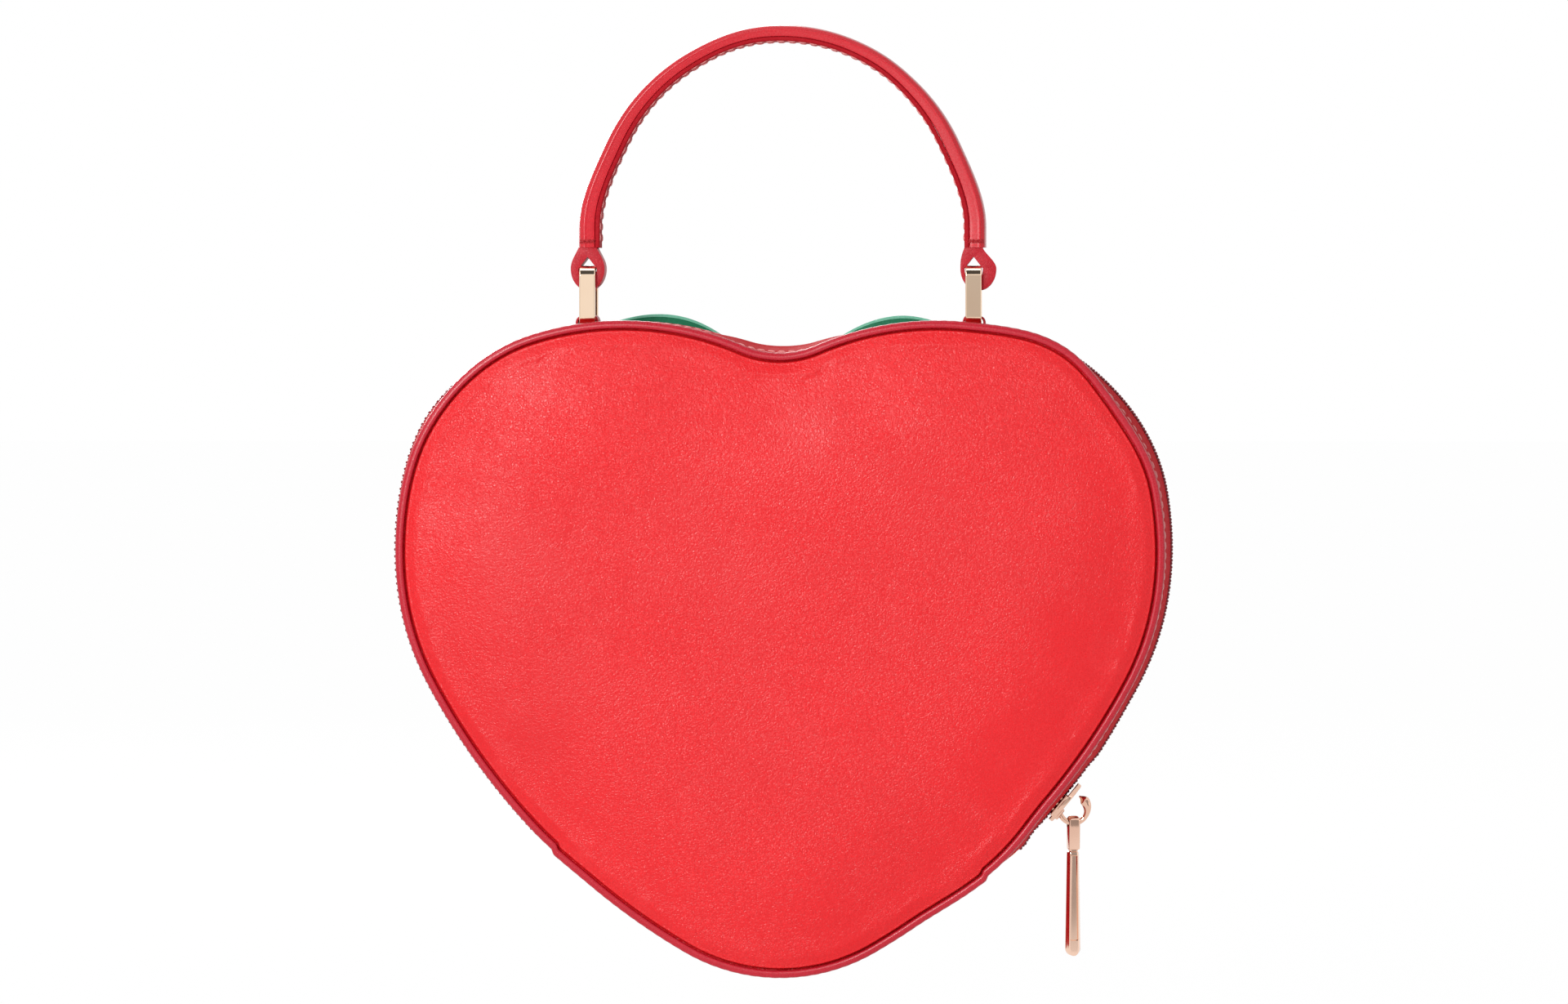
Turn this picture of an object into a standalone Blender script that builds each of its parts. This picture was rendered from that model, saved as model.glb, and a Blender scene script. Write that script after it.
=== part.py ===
# Heart-shaped strawberry crossbody bag with a short top handle.
# The origin is at the underside of the handle's crown, where the bag is carried.
# +X is to the right as seen from the plain back, +Y runs from the back to the front, +Z is up.

import bmesh
import bpy
from math import atan2, cos, pi, radians, sin, sqrt
from mathutils import Matrix, Vector

MM = 0.001

# Heart outline, measured over the edge piping
heart_width = 201.2 * MM
heart_height = 171.4 * MM
# Arc radii as shares of half the heart's width, from the tip round to the notch
tip_radius_share = 0.4876
side_radius_share = 1.7600
flank_radius_share = 0.7755
lobe_radius_share = 0.4905
crown_radius_share = 0.7910
# How far each arc turns, in degrees, and how many straight steps it takes
tip_turn = 30.31
side_turn = 31.36
flank_turn = 44.72
lobe_turn = 56.15
crown_turn = 40.71
tip_steps = 3
side_steps = 8
flank_steps = 5
lobe_steps = 6
crown_steps = 5
notch_steps = 3

# Depth of the bag, measured from the plane of the zip
zip_plane = 16.0 * MM
rim_reach = 27.0 * MM
clearance = 0.3 * MM
leather = 1.4 * MM
lining_cloth = 0.8 * MM

# Edge piping
piping_radius = 1.2 * MM
piping_bevel_steps = 2

# Padded back panel: its rolled edge, then the flat field
panel_edge_inset = 2.7 * MM
panel_rise = 3.4 * MM
panel_roll = 11.0 * MM
board_thickness = 1.2 * MM
board_inset = 4.2 * MM
board_drop = 0.8 * MM

# Domed strawberry front
dome_height = 13.5 * MM
dome_roundness = 2.4
dome_sharpness = 1.9
dome_ring_shares = (0.985, 0.94, 0.86, 0.74, 0.56, 0.32)

# Gusset bands and the way they swell out between the rim and the zip
gusset_inset = 2.2 * MM
gusset_start = 1.5 * MM
zip_gap = 5.0 * MM
zip_swell = 4.6 * MM
swell_flat_reach = 40.0 * MM
# Round the tip the swell is only a share, and it is whole again at this distance from the tip
tip_swell_share = 0.35
tip_swell_reach = 75.0 * MM
# Where the bands, the bottom gusset and the teeth end, as headings of the outline in degrees
band_end_turn = 39.5
bottom_end_turn = 42.0
teeth_end_turn = 44.5

# Lining trays
lining_inset = 4.0 * MM
lining_setback = 0.8 * MM

# Zip
tape_thickness = 0.6 * MM
tape_drop = 0.9 * MM
teeth_width = 2.05 * MM
teeth_height = 1.1 * MM
zip_split = 0.65 * MM
stop_length = 2.4 * MM
slider_turn = 50.3
slider_length = 12.4 * MM
slider_width = 8.6 * MM
slider_plate = 1.2 * MM
slider_clearance = 0.45 * MM
slider_web = 0.7 * MM
slider_web_length = 5.0 * MM
slider_corner = 2.0 * MM
bail_radius = 3.7 * MM
bail_wire = 0.75 * MM
bail_rise = 2.3 * MM
bail_root_angle = 205.0
bail_tip_angle = -12.0
bail_steps = 18

# Zip pull
pull_length = 37.2 * MM
pull_eye_length = 9.0 * MM
pull_eye_width = 3.0 * MM
pull_eye_depth = 3.5 * MM
pull_eye_wall = 0.65 * MM
pull_neck_length = 0.5 * MM
pull_neck_width = 2.4 * MM
pull_neck_overlap = 0.5 * MM
pull_top_width = 3.2 * MM
pull_bottom_width = 4.4 * MM
pull_thickness = 2.2 * MM
pull_channel_depth = 0.45 * MM
pull_channel_margin = 1.0 * MM
pull_channel_end = 3.0 * MM
pull_round_steps = 8

# Top handle
handle_radius = 48.5 * MM
handle_thickness = 4.2 * MM
handle_width = 11.0 * MM
handle_leg = 5.6 * MM
underlay_thickness = 1.1 * MM
handle_skin = 1.25 * MM
handle_wall_share = 0.42
arch_steps = 22

# Leather loops at the ends of the handle
loop_width = 10.4 * MM
loop_half = 4.0 * MM
loop_neck_half = 2.1 * MM
loop_hole_half = 2.5 * MM
loop_hole_rise = 3.45 * MM
loop_hole_drop = 3.7 * MM
loop_bottom = 2.0 * MM
loop_point_share = 1.6
loop_belly_share = 1.2
loop_steps = 8
pivot_below_leg = 5.55 * MM

# Flat-band rings between the handle and the bag
ring_band = 4.2 * MM
ring_wall = 1.5 * MM
ring_depth = 15.0 * MM
ring_corner = 1.6 * MM
ring_corner_steps = 3
ring_span = 14.5 * MM
# How far the bag sways on the rings, in degrees
ring_sway = 17.0

# Leather tabs that hold the rings to the bag, with room for a ring's lower bar to turn
tab_thickness = 1.0 * MM
tab_room = 0.45 * MM
tab_foot = 5.2 * MM
tab_width = 10.4 * MM
tab_square_share = 4.0
tab_steps = 8

# Slip pocket on the back lining
pocket_width = 92.0 * MM
pocket_height = 62.0 * MM
pocket_thickness = 0.7 * MM
pocket_corner = 9.0 * MM
pocket_corner_steps = 3
pocket_top_below_notch = 22.0 * MM

# Strawberry leaves, as a calyx below the notch
calyx_below_notch = 11.0 * MM
calyx_hub_radius = 8.2 * MM
calyx_hub_thickness = 1.6 * MM
calyx_hub_corners = 20
leaf_thickness = 1.2 * MM
leaf_root = 1.0 * MM
leaf_stand = 0.5 * MM
leaf_steps = 9
leaf_half_steps = 2
leaf_point_share = 1.4
# Each leaf: its direction in degrees above the level, its length, its half width and its bow
upper_leaf = (9.0, 60.0 * MM, 12.5 * MM, 4.5 * MM)
lower_leaf = (-41.0, 52.0 * MM, 10.0 * MM, 2.0 * MM)
middle_leaf = (-90.0, 44.0 * MM, 9.0 * MM, 0.0)

# Seed studs on the front: rows of (height above the tip, places out from the middle line)
seed_half_width = 1.9 * MM
seed_half_length = 3.1 * MM
seed_height = 1.5 * MM
seed_taper_share = 0.35
seed_segments = 8
seed_rings = 3
seed_rows = (
    (88.0 * MM, (66.0 * MM,)),
    (70.0 * MM, (0.0, 42.0 * MM)),
    (50.0 * MM, (21.0 * MM, 58.0 * MM)),
    (30.0 * MM, (0.0, 34.0 * MM)),
    (13.0 * MM, (11.0 * MM,)),
)

# Colours, as linear red, green and blue
red_leather = (0.84, 0.035, 0.045)
pink_edge = (0.55, 0.035, 0.07)
dark_tape = (0.14, 0.012, 0.02)
pale_gold = (0.83, 0.66, 0.46)
leaf_green = (0.012, 0.20, 0.085)
lining_rose = (0.62, 0.22, 0.24)
inner_grey = (0.45, 0.43, 0.40)

# Places that several pieces share: the handle's legs, the rings' pivots, the trays' floors
handle_centre = handle_radius + handle_thickness / 2
upper_pivot = -handle_radius - handle_leg - pivot_below_leg
lower_pivot = upper_pivot - ring_span
tray_floor_drop = board_drop + board_thickness + clearance


def clear_scene():
    for obj in list(bpy.data.objects):
        bpy.data.objects.remove(obj, do_unlink=True)


def new_collection(name):
    collection = bpy.data.collections.new(name)
    bpy.context.scene.collection.children.link(collection)
    return collection


def surface(name, colour, roughness, metallic=0.0):
    material = bpy.data.materials.new(name)
    material.use_nodes = True
    shader = material.node_tree.nodes["Principled BSDF"]
    shader.inputs["Base Color"].default_value = (*colour, 1.0)
    shader.inputs["Roughness"].default_value = roughness
    shader.inputs["Metallic"].default_value = metallic
    return material


def dress(obj, name, collection, look):
    colour, roughness, metallic = look
    obj.name = name
    obj.data.name = name
    obj.data.materials.clear()
    obj.data.materials.append(surface(name, colour, roughness, metallic))
    for owner in list(obj.users_collection):
        owner.objects.unlink(obj)
    collection.objects.link(obj)
    return obj


def mesh_object(name, points, faces):
    mesh = bpy.data.meshes.new(name)
    mesh.from_pydata([tuple(point) for point in points], [], faces)
    shape = bmesh.new()
    shape.from_mesh(mesh)
    bmesh.ops.recalc_face_normals(shape, faces=shape.faces)
    shape.to_mesh(mesh)
    shape.free()
    obj = bpy.data.objects.new(name, mesh)
    bpy.context.scene.collection.objects.link(obj)
    return obj


def loft(name, loops):
    """Skin between equal loops of points, with its first and last loops capped."""
    size = len(loops[0])
    points = [point for loop in loops for point in loop]
    faces = []
    for row in range(len(loops) - 1):
        for step in range(size):
            beside = (step + 1) % size
            faces.append((
                row * size + step,
                row * size + beside,
                (row + 1) * size + beside,
                (row + 1) * size + step,
            ))
    faces.append(tuple(range(size)))
    faces.append(tuple(range(len(points) - size, len(points))))
    return mesh_object(name, points, faces)


def flat_plate(name, outlines, thickness):
    """A flat outline in X and Y, with any holes, extruded to its thickness along Z."""
    curve = bpy.data.curves.new(name, "CURVE")
    curve.dimensions = "2D"
    curve.fill_mode = "BOTH"
    curve.extrude = thickness / 2
    for outline in outlines:
        spline = curve.splines.new("POLY")
        spline.points.add(len(outline) - 1)
        for point, place in zip(spline.points, outline):
            point.co = (place[0], place[1], 0.0, 1.0)
        spline.use_cyclic_u = True
    obj = bpy.data.objects.new(name, curve)
    bpy.context.scene.collection.objects.link(obj)
    return obj


def tube(name, places, radius, bevel_steps, closed):
    curve = bpy.data.curves.new(name, "CURVE")
    curve.dimensions = "3D"
    curve.bevel_depth = radius
    curve.bevel_resolution = bevel_steps
    curve.use_fill_caps = True
    spline = curve.splines.new("POLY")
    spline.points.add(len(places) - 1)
    for point, place in zip(spline.points, places):
        point.co = (*place, 1.0)
    spline.use_cyclic_u = closed
    obj = bpy.data.objects.new(name, curve)
    bpy.context.scene.collection.objects.link(obj)
    return obj


def as_mesh(obj):
    """The same object as a mesh, with its caps welded to its sides."""
    bpy.context.view_layer.update()
    evaluated = obj.evaluated_get(bpy.context.evaluated_depsgraph_get())
    mesh = bpy.data.meshes.new_from_object(evaluated)
    shape = bmesh.new()
    shape.from_mesh(mesh)
    bmesh.ops.remove_doubles(shape, verts=shape.verts, dist=0.001 * MM)
    bmesh.ops.recalc_face_normals(shape, faces=shape.faces)
    shape.to_mesh(mesh)
    shape.free()
    made = bpy.data.objects.new(obj.name, mesh)
    made.matrix_world = obj.matrix_world.copy()
    bpy.context.scene.collection.objects.link(made)
    bpy.data.objects.remove(obj, do_unlink=True)
    return made


def block(size, place):
    bpy.ops.mesh.primitive_cube_add(size=1.0, location=place)
    obj = bpy.context.active_object
    obj.data.transform(Matrix.Diagonal((*size, 1.0)))
    return obj


def combine(obj, other, operation, cutters):
    modifier = obj.modifiers.new(operation.lower(), "BOOLEAN")
    modifier.operation = operation
    modifier.solver = "EXACT"
    modifier.object = other
    other.hide_render = True
    other.display_type = "WIRE"
    for owner in list(other.users_collection):
        owner.objects.unlink(other)
    cutters.objects.link(other)


def turn_about(place, rotation):
    """The matrix that sets local axes, given as columns, at a place."""
    matrix = Matrix(rotation).transposed().to_4x4()
    matrix.translation = Vector(place)
    return matrix


class Heart:
    """The heart's outline as tangent arcs, and what lies along it."""

    def __init__(self):
        radii = (
            tip_radius_share,
            side_radius_share,
            flank_radius_share,
            lobe_radius_share,
            crown_radius_share,
        )
        turns = (tip_turn, side_turn, flank_turn, lobe_turn, crown_turn)
        steps = (tip_steps, side_steps, flank_steps, lobe_steps, crown_steps)
        place = Vector((0.0, 0.0))
        heading = 0.0
        self.arcs = []
        for radius, turn, count in zip(radii, turns, steps):
            centre = place + radius * Vector((-sin(heading), cos(heading)))
            finish = heading + radians(turn)
            self.arcs.append((centre, radius, heading, finish, count))
            heading = finish
            place = centre + radius * Vector((sin(heading), -cos(heading)))
        notch_radius = -place.x / sin(heading)
        centre = place + notch_radius * Vector((sin(heading), -cos(heading)))
        self.arcs.append((centre, -notch_radius, heading, pi, notch_steps))
        raw = [self.unit_place(*station) for station in self.stations()]
        self.scale_x = heart_width / 2 / max(point.x for point in raw)
        self.scale_z = heart_height / max(point.y for point in raw)

    def unit_place(self, arc, heading):
        centre, radius = self.arcs[arc][:2]
        return centre + radius * Vector((sin(heading), -cos(heading)))

    def stations(self, start_turn=None):
        """Arc and heading of each point of the right half, from the tip or from a heading on."""
        found = []
        for index, (_, _, first, last, count) in enumerate(self.arcs):
            for step in range(count + 1):
                heading = first + (last - first) * step / count
                if step == 0 and index > 0:
                    continue
                if start_turn is not None and index < 2 and heading <= radians(start_turn):
                    continue
                found.append((index, heading))
        if start_turn is not None:
            found.insert(0, (1, radians(start_turn)))
        return found

    def tip_stations(self, end_turn):
        """The stretch round the tip, from the right side's given heading down to the tip."""
        found = []
        for index, (_, _, first, last, count) in enumerate(self.arcs[:2]):
            for step in range(count + 1):
                heading = first + (last - first) * step / count
                if heading < radians(end_turn) and not (step == 0 and index > 0):
                    found.append((index, heading))
        found.append((1, radians(end_turn)))
        return found

    def place(self, station):
        raw = self.unit_place(*station)
        return Vector((raw.x * self.scale_x, raw.y * self.scale_z))

    def outward(self, station):
        along = Vector((self.scale_x * cos(station[1]), self.scale_z * sin(station[1])))
        return Vector((along.y, -along.x)).normalized()

    def bend_centre(self, station):
        """The centre and the radius of the outline's curve at a station."""
        _, radius = self.arcs[station[0]][:2]
        wide = self.scale_x * cos(station[1])
        high = self.scale_z * sin(station[1])
        bend = radius * (wide * wide + high * high) ** 1.5 / (self.scale_x * self.scale_z)
        return self.place(station) - bend * self.outward(station), bend

    def swell(self, station):
        """How much of the gusset's swell shows: none at the rings, a share at the tip, else all."""
        place = self.place(station)
        away = min((place - self.ring_foot()).length / swell_flat_reach, 1.0)
        from_tip = min(place.length / tip_swell_reach, 1.0)
        fullness = tip_swell_share + (1.0 - tip_swell_share) * from_tip * from_tip
        return away * away * (3.0 - 2.0 * away) * fullness

    def top_place(self, x):
        """The outline's upper place at a distance from the middle, by bisection along its upper arcs."""
        for index in (4, 3, 2):
            low = self.arcs[index][2]
            high = self.arcs[index][3]
            if self.place((index, low)).x >= x >= self.place((index, high)).x:
                for _ in range(40):
                    middle = (low + high) / 2
                    if self.place((index, middle)).x > x:
                        low = middle
                    else:
                        high = middle
                return index, (low + high) / 2
        return 4, self.arcs[4][2]

    def ring_station(self):
        return self.top_place(handle_centre)

    def ring_foot(self):
        return self.place(self.ring_station())

    def point(self, station, inset, depth, swell_share=0.0, mirrored=False):
        """A world point at a station, moved in from the outline, at a depth."""
        shift = inset - zip_swell * swell_share * (self.swell(station) if swell_share else 0.0)
        flat = self.place(station) - shift * self.outward(station)
        x = -flat.x if mirrored else flat.x
        return Vector((x, depth, flat.y - heart_drop))

    def loop(self, inset, depth, swell_share=0.0):
        """The whole outline, as one loop."""
        right = self.stations()
        points = [self.point(station, inset, depth, swell_share) for station in right]
        for station in reversed(right[1:-1]):
            points.append(self.point(station, inset, depth, swell_share, True))
        return points

    def run(self, stations, inset, depth, swell_share=0.0):
        """An open run from the right side through the middle line to the left side."""
        points = [self.point(station, inset, depth, swell_share) for station in stations]
        for station in reversed(stations[:-1]):
            points.append(self.point(station, inset, depth, swell_share, True))
        return points


heart = Heart()

# The outline's slope where a ring stands, and the most that the ring's bar turns against the tab
ring_out = heart.outward(heart.ring_station())
ring_turn = radians(ring_sway) + abs(atan2(ring_out.x, ring_out.y))
# The turned bar's reach sideways and up, which sets the tab's tunnel and the pivot's seat over it
bar_half_width = ring_band / 2 * cos(ring_turn) + ring_wall / 2 * sin(ring_turn)
bar_half_height = ring_wall / 2 * cos(ring_turn) + ring_band / 2 * sin(ring_turn)
tab_tunnel_half = bar_half_width + tab_room
tab_tunnel_rise = 2 * bar_half_height + tab_room
# The tab's foot rests on the gusset, and the bag hangs by it from the ring's lower pivot
tab_base = heart.ring_foot() - (gusset_inset - clearance) * ring_out
heart_drop = tab_base.y + bar_half_height * ring_out.y - lower_pivot
tip_height = heart.place(heart.stations()[0]).y - heart_drop
notch_height = heart.place(heart.stations()[-1]).y - heart_drop
calyx_height = notch_height - calyx_below_notch


def depth_of(side, reach):
    """World Y at a reach from the zip: side -1 is the back half, +1 the front half."""
    return zip_plane + side * reach


def swell_share_at(reach):
    """The gusset swells in a straight slope from its rim edge to its zip edge."""
    rim_edge = rim_reach - gusset_start
    return (rim_edge - reach) / (rim_edge - zip_gap)


def band(name, stations, section):
    """A band swept along open stations; its section is a list of inset, depth and swell share."""
    runs = [heart.run(stations, *corner) for corner in section]
    loops = [[run[index] for run in runs] for index in range(len(runs[0]))]
    return loft(name, loops)


def gusset(name, side, collection, look):
    rim_edge = rim_reach - gusset_start
    middle = (rim_edge + zip_gap) / 2
    reaches = (rim_edge, middle, zip_gap)
    outer = [(gusset_inset, depth_of(side, reach), swell_share_at(reach)) for reach in reaches]
    inner = [(inset + leather, depth, share) for inset, depth, share in reversed(outer)]
    obj = band(name, heart.stations(band_end_turn), outer + inner)
    return dress(obj, name, collection, look)


def zip_tape(name, side, collection, look):
    top = gusset_inset + tape_drop
    near = zip_split
    far = zip_gap - clearance
    section = [
        (top, depth_of(side, far), 1.0),
        (top, depth_of(side, near), 1.0),
        (top + tape_thickness, depth_of(side, near), 1.0),
        (top + tape_thickness, depth_of(side, far), 1.0),
    ]
    return dress(band(name, heart.stations(band_end_turn), section), name, collection, look)


def teeth_section(side):
    bottom = gusset_inset + tape_drop - clearance
    top = bottom - teeth_height
    near = zip_split
    far = zip_split + teeth_width
    return [
        (top, depth_of(side, far), 1.0),
        (top, depth_of(side, near), 1.0),
        (bottom, depth_of(side, near), 1.0),
        (bottom, depth_of(side, far), 1.0),
    ]


def zip_teeth(name, side, collection, look):
    obj = band(name, heart.stations(teeth_end_turn), teeth_section(side))
    return dress(obj, name, collection, look)


def zip_stop(name, side, mirrored, collection, look):
    """The metal end stop just past the teeth."""
    radius = heart.bend_centre((1, radians(teeth_end_turn)))[1]
    first = radians(teeth_end_turn) - (clearance + stop_length) / radius
    last = radians(teeth_end_turn) - clearance / radius
    loops = []
    for heading in (first, last):
        station = (1, heading)
        loops.append([heart.point(station, *corner, mirrored) for corner in teeth_section(side)])
    return dress(loft(name, loops), name, collection, look)


def lining_tray(name, side, collection, look):
    floor = depth_of(side, rim_reach - tray_floor_drop)
    floor_inside = depth_of(side, rim_reach - tray_floor_drop - lining_cloth)
    mouth = depth_of(side, zip_gap + lining_setback)
    loops = [
        heart.loop(lining_inset, floor),
        heart.loop(lining_inset, mouth),
        heart.loop(lining_inset + lining_cloth, mouth),
        heart.loop(lining_inset + lining_cloth, floor_inside),
    ]
    return dress(loft(name, loops), name, collection, look)


def piping(name, side, collection, look):
    places = heart.loop(piping_radius, depth_of(side, rim_reach))
    return dress(tube(name, places, piping_radius, piping_bevel_steps, True), name, collection, look)


def stiff_board(name, side, collection, look):
    outer = depth_of(side, rim_reach - board_drop)
    inner = depth_of(side, rim_reach - board_drop - board_thickness)
    loops = [heart.loop(board_inset, outer), heart.loop(board_inset, inner)]
    return dress(loft(name, loops), name, collection, look)


def rolled_profile(edge_inset, edge_reach, rise, roll):
    """Inset and reach from the edge, over a quarter-round roll, to the flat field."""
    profile = []
    for angle in (0.0, 30.0, 60.0, 90.0):
        across = 1.0 - cos(radians(angle))
        up = sin(radians(angle))
        profile.append((edge_inset + roll * across, edge_reach + rise * up))
    return profile


def back_panel(collection, look):
    outer = rolled_profile(panel_edge_inset, rim_reach, panel_rise, panel_roll)
    inner = rolled_profile(
        panel_edge_inset + leather, rim_reach, panel_rise - leather, panel_roll - leather
    )
    places = list(reversed(outer)) + inner
    loops = [heart.loop(inset, depth_of(-1, reach)) for inset, reach in places]
    return dress(loft("back_panel", loops), "back_panel", collection, look)


def back_foam(collection, look):
    edge = panel_edge_inset + leather + clearance
    rise = panel_rise - leather - clearance
    outer = rolled_profile(edge, rim_reach, rise, panel_roll - leather - clearance)
    places = list(reversed(outer)) + [(edge, rim_reach - board_drop + clearance)]
    loops = [heart.loop(inset, depth_of(-1, reach)) for inset, reach in places]
    return dress(loft("back_foam", loops), "back_foam", collection, look)


def dome_rise(share, height):
    return height * (1.0 - share ** dome_roundness) ** (1.0 / dome_sharpness)


def faceted_rise(share):
    """The dome's rise on its straight facets between two rings."""
    shares = (1.0,) + dome_ring_shares
    for outer, inner in zip(shares, shares[1:]):
        if share >= inner:
            part = (outer - share) / (outer - inner)
            low = dome_rise(outer, dome_height)
            return low + part * (dome_rise(inner, dome_height) - low)
    return dome_rise(shares[-1], dome_height)


def dome_centre():
    """The middle that the dome's rings shrink to, half way up the heart's middle line."""
    return Vector((0.0, (tip_height + notch_height) / 2))


def dome_loop(edge_inset, share, depth):
    centre = dome_centre()
    loop = []
    for point in heart.loop(edge_inset, depth):
        x = centre.x + (point.x - centre.x) * share
        z = centre.y + (point.z - centre.y) * share
        loop.append(Vector((x, depth, z)))
    return loop


def dome_loops(edge_inset, height, base_reach, outward):
    shares = (1.0,) + dome_ring_shares
    loops = []
    for share in shares:
        reach = base_reach + dome_rise(share, height)
        loops.append(dome_loop(edge_inset, share, depth_of(1, reach)))
    return loops if outward else list(reversed(loops))


def front_panel(collection, look):
    outer = dome_loops(panel_edge_inset, dome_height, rim_reach, False)
    inner = dome_loops(panel_edge_inset + leather, dome_height - leather, rim_reach, True)
    return dress(loft("front_panel", outer + inner), "front_panel", collection, look)


def front_foam(collection, look):
    edge = panel_edge_inset + leather + clearance
    outer = dome_loops(edge, dome_height - leather - clearance, rim_reach, False)
    base = dome_loop(edge, 1.0, depth_of(1, rim_reach - board_drop + clearance))
    return dress(loft("front_foam", outer + [base]), "front_foam", collection, look)


def dome_reach_at(x, z):
    """Reach of the front panel's surface at a place: the outline ray through it gives its share."""
    centre = dome_centre()
    away = Vector((x - centre.x, z - centre.y))
    if away.length == 0.0:
        return rim_reach + dome_height
    edge = [Vector((p.x - centre.x, p.z - centre.y)) for p in heart.loop(panel_edge_inset, 0.0)]
    for first, second in zip(edge, edge[1:] + edge[:1]):
        side = second - first
        spread = away.x * side.y - away.y * side.x
        if spread == 0.0:
            continue
        reach = (first.x * side.y - first.y * side.x) / spread
        along = (first.x * away.y - first.y * away.x) / spread
        if reach > 0.0 and 0.0 <= along <= 1.0:
            share = min(1.0 / reach, dome_ring_shares[0])
            return rim_reach + faceted_rise(share)
    return rim_reach + dome_height


def dome_frame(x, z, step):
    """Place on the dome, with directions to the right, up its slope and out of it."""
    slope_x = (dome_reach_at(x + step, z) - dome_reach_at(x - step, z)) / (2 * step)
    slope_z = (dome_reach_at(x, z + step) - dome_reach_at(x, z - step)) / (2 * step)
    out = Vector((-slope_x, 1.0, -slope_z)).normalized()
    up = (Vector((0.0, 0.0, 1.0)) - out * out.z).normalized()
    right = up.cross(out)
    return Vector((x, depth_of(1, dome_reach_at(x, z)), z)), right, up, out


def lift_over_dome(place, right, up, out, half_width, half_length):
    """How far a flat base of this size must lift along its normal to clear the dome below it."""
    lift = 0.0
    for across in (-1, 0, 1):
        for along in (-1, 0, 1):
            spot = place + right * (half_width * across) + up * (half_length * along)
            over = depth_of(1, dome_reach_at(spot.x, spot.z)) - spot.y
            lift = max(lift, over * out.y)
    return lift + clearance


def leaf_place(size, side, along, across):
    """A place on a bowed leaf; side 1 is the right-hand leaf of a pair and side -1 the left one."""
    direction, length, _, bow = size
    axis = Vector((cos(radians(direction)), sin(radians(direction))))
    beside = Vector((-axis.y, axis.x))
    distance = leaf_root + (length - leaf_root) * along
    bend = bow * 4.0 * along * (1.0 - along)
    flat = axis * distance + beside * (bend + across)
    return Vector((side * flat.x, calyx_height + flat.y))


def leaf(name, size, side, collection, look):
    """A pointed leaf lying on the dome, its free edge standing off past the rim."""
    rows = []
    for step in range(1, leaf_steps):
        along = step / leaf_steps
        half = size[2] * sin(pi * along) ** leaf_point_share
        row = []
        for index in range(-leaf_half_steps, leaf_half_steps + 1):
            flat = leaf_place(size, side, along, half * index / leaf_half_steps)
            reach = dome_reach_at(flat.x, flat.y) + leaf_stand
            row.append((flat, reach))
        rows.append(row)
    loops = []
    for row in rows:
        under = [Vector((flat.x, depth_of(1, reach), flat.y)) for flat, reach in row]
        over = [
            Vector((flat.x, depth_of(1, reach + leaf_thickness), flat.y))
            for flat, reach in reversed(row)
        ]
        loops.append(under + over)
    return dress(loft(name, loops), name, collection, look)


def calyx_hub(collection, look):
    """A round boss over the leaves' roots, square to the dome's slope."""
    place, right, up, out = dome_frame(0.0, calyx_height, calyx_hub_radius)
    half = calyx_hub_radius
    lift = lift_over_dome(place, right, up, out, half, half) + leaf_stand + leaf_thickness
    bpy.ops.mesh.primitive_cylinder_add(
        vertices=calyx_hub_corners, radius=calyx_hub_radius, depth=calyx_hub_thickness
    )
    obj = bpy.context.active_object
    centre = place + out * (lift + calyx_hub_thickness / 2)
    obj.matrix_world = turn_about(centre, (right, out.cross(right), out))
    return dress(obj, "calyx_hub", collection, look)


def seed(name, x, height, collection, look):
    """A teardrop stud: a half egg whose flat base lies on the dome's slope."""
    place, right, up, out = dome_frame(x, height - heart_drop, seed_half_length)
    lift = lift_over_dome(place, right, up, out, seed_half_width, seed_half_length)
    loops = []
    for ring_index in range(seed_rings):
        rise = ring_index / seed_rings
        narrow = sqrt(1.0 - rise * rise)
        loop = []
        for corner in range(seed_segments):
            angle = 2 * pi * corner / seed_segments
            taper = 1.0 - seed_taper_share * sin(angle)
            across = right * (seed_half_width * narrow * taper * cos(angle))
            along = up * (seed_half_length * narrow * sin(angle))
            loop.append(across + along + out * (seed_height * rise))
        loops.append(loop)
    obj = loft(name, loops)
    obj.location = place + out * lift
    return dress(obj, name, collection, look)


def slip_pocket(collection, look):
    top = notch_height - pocket_top_below_notch
    half = pocket_width / 2
    corners = [(-half, top), (half, top)]
    for across, start in ((1, 0.0), (-1, -90.0)):
        for step in range(pocket_corner_steps + 1):
            angle = radians(start - 90.0 * step / pocket_corner_steps)
            x = across * (half - pocket_corner) + pocket_corner * cos(angle)
            z = top - pocket_height + pocket_corner + pocket_corner * sin(angle)
            corners.append((x, z))
    reach = rim_reach - tray_floor_drop - lining_cloth - clearance - pocket_thickness / 2
    obj = flat_plate("slip_pocket", [corners], pocket_thickness)
    obj.rotation_euler = (pi / 2, 0.0, 0.0)
    obj.location = (0.0, depth_of(-1, reach), 0.0)
    return dress(obj, "slip_pocket", collection, look)


def bottom_gusset(collection, look):
    """The one-piece gusset round the tip, outside the ends of the bands."""
    rim_edge = rim_reach - gusset_start
    reaches = (rim_edge, (rim_edge + zip_gap) / 2, zip_gap)
    inset = gusset_inset - leather - clearance
    outer = [(inset, depth_of(-1, reach), swell_share_at(reach)) for reach in reaches]
    outer += [(inset, depth_of(1, reach), swell_share_at(reach)) for reach in reversed(reaches)]
    inner = [(inset + leather, depth, share) for inset, depth, share in reversed(outer)]
    stations = list(reversed(heart.tip_stations(bottom_end_turn)))
    return dress(band("bottom_gusset", stations, outer + inner), "bottom_gusset", collection, look)


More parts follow.
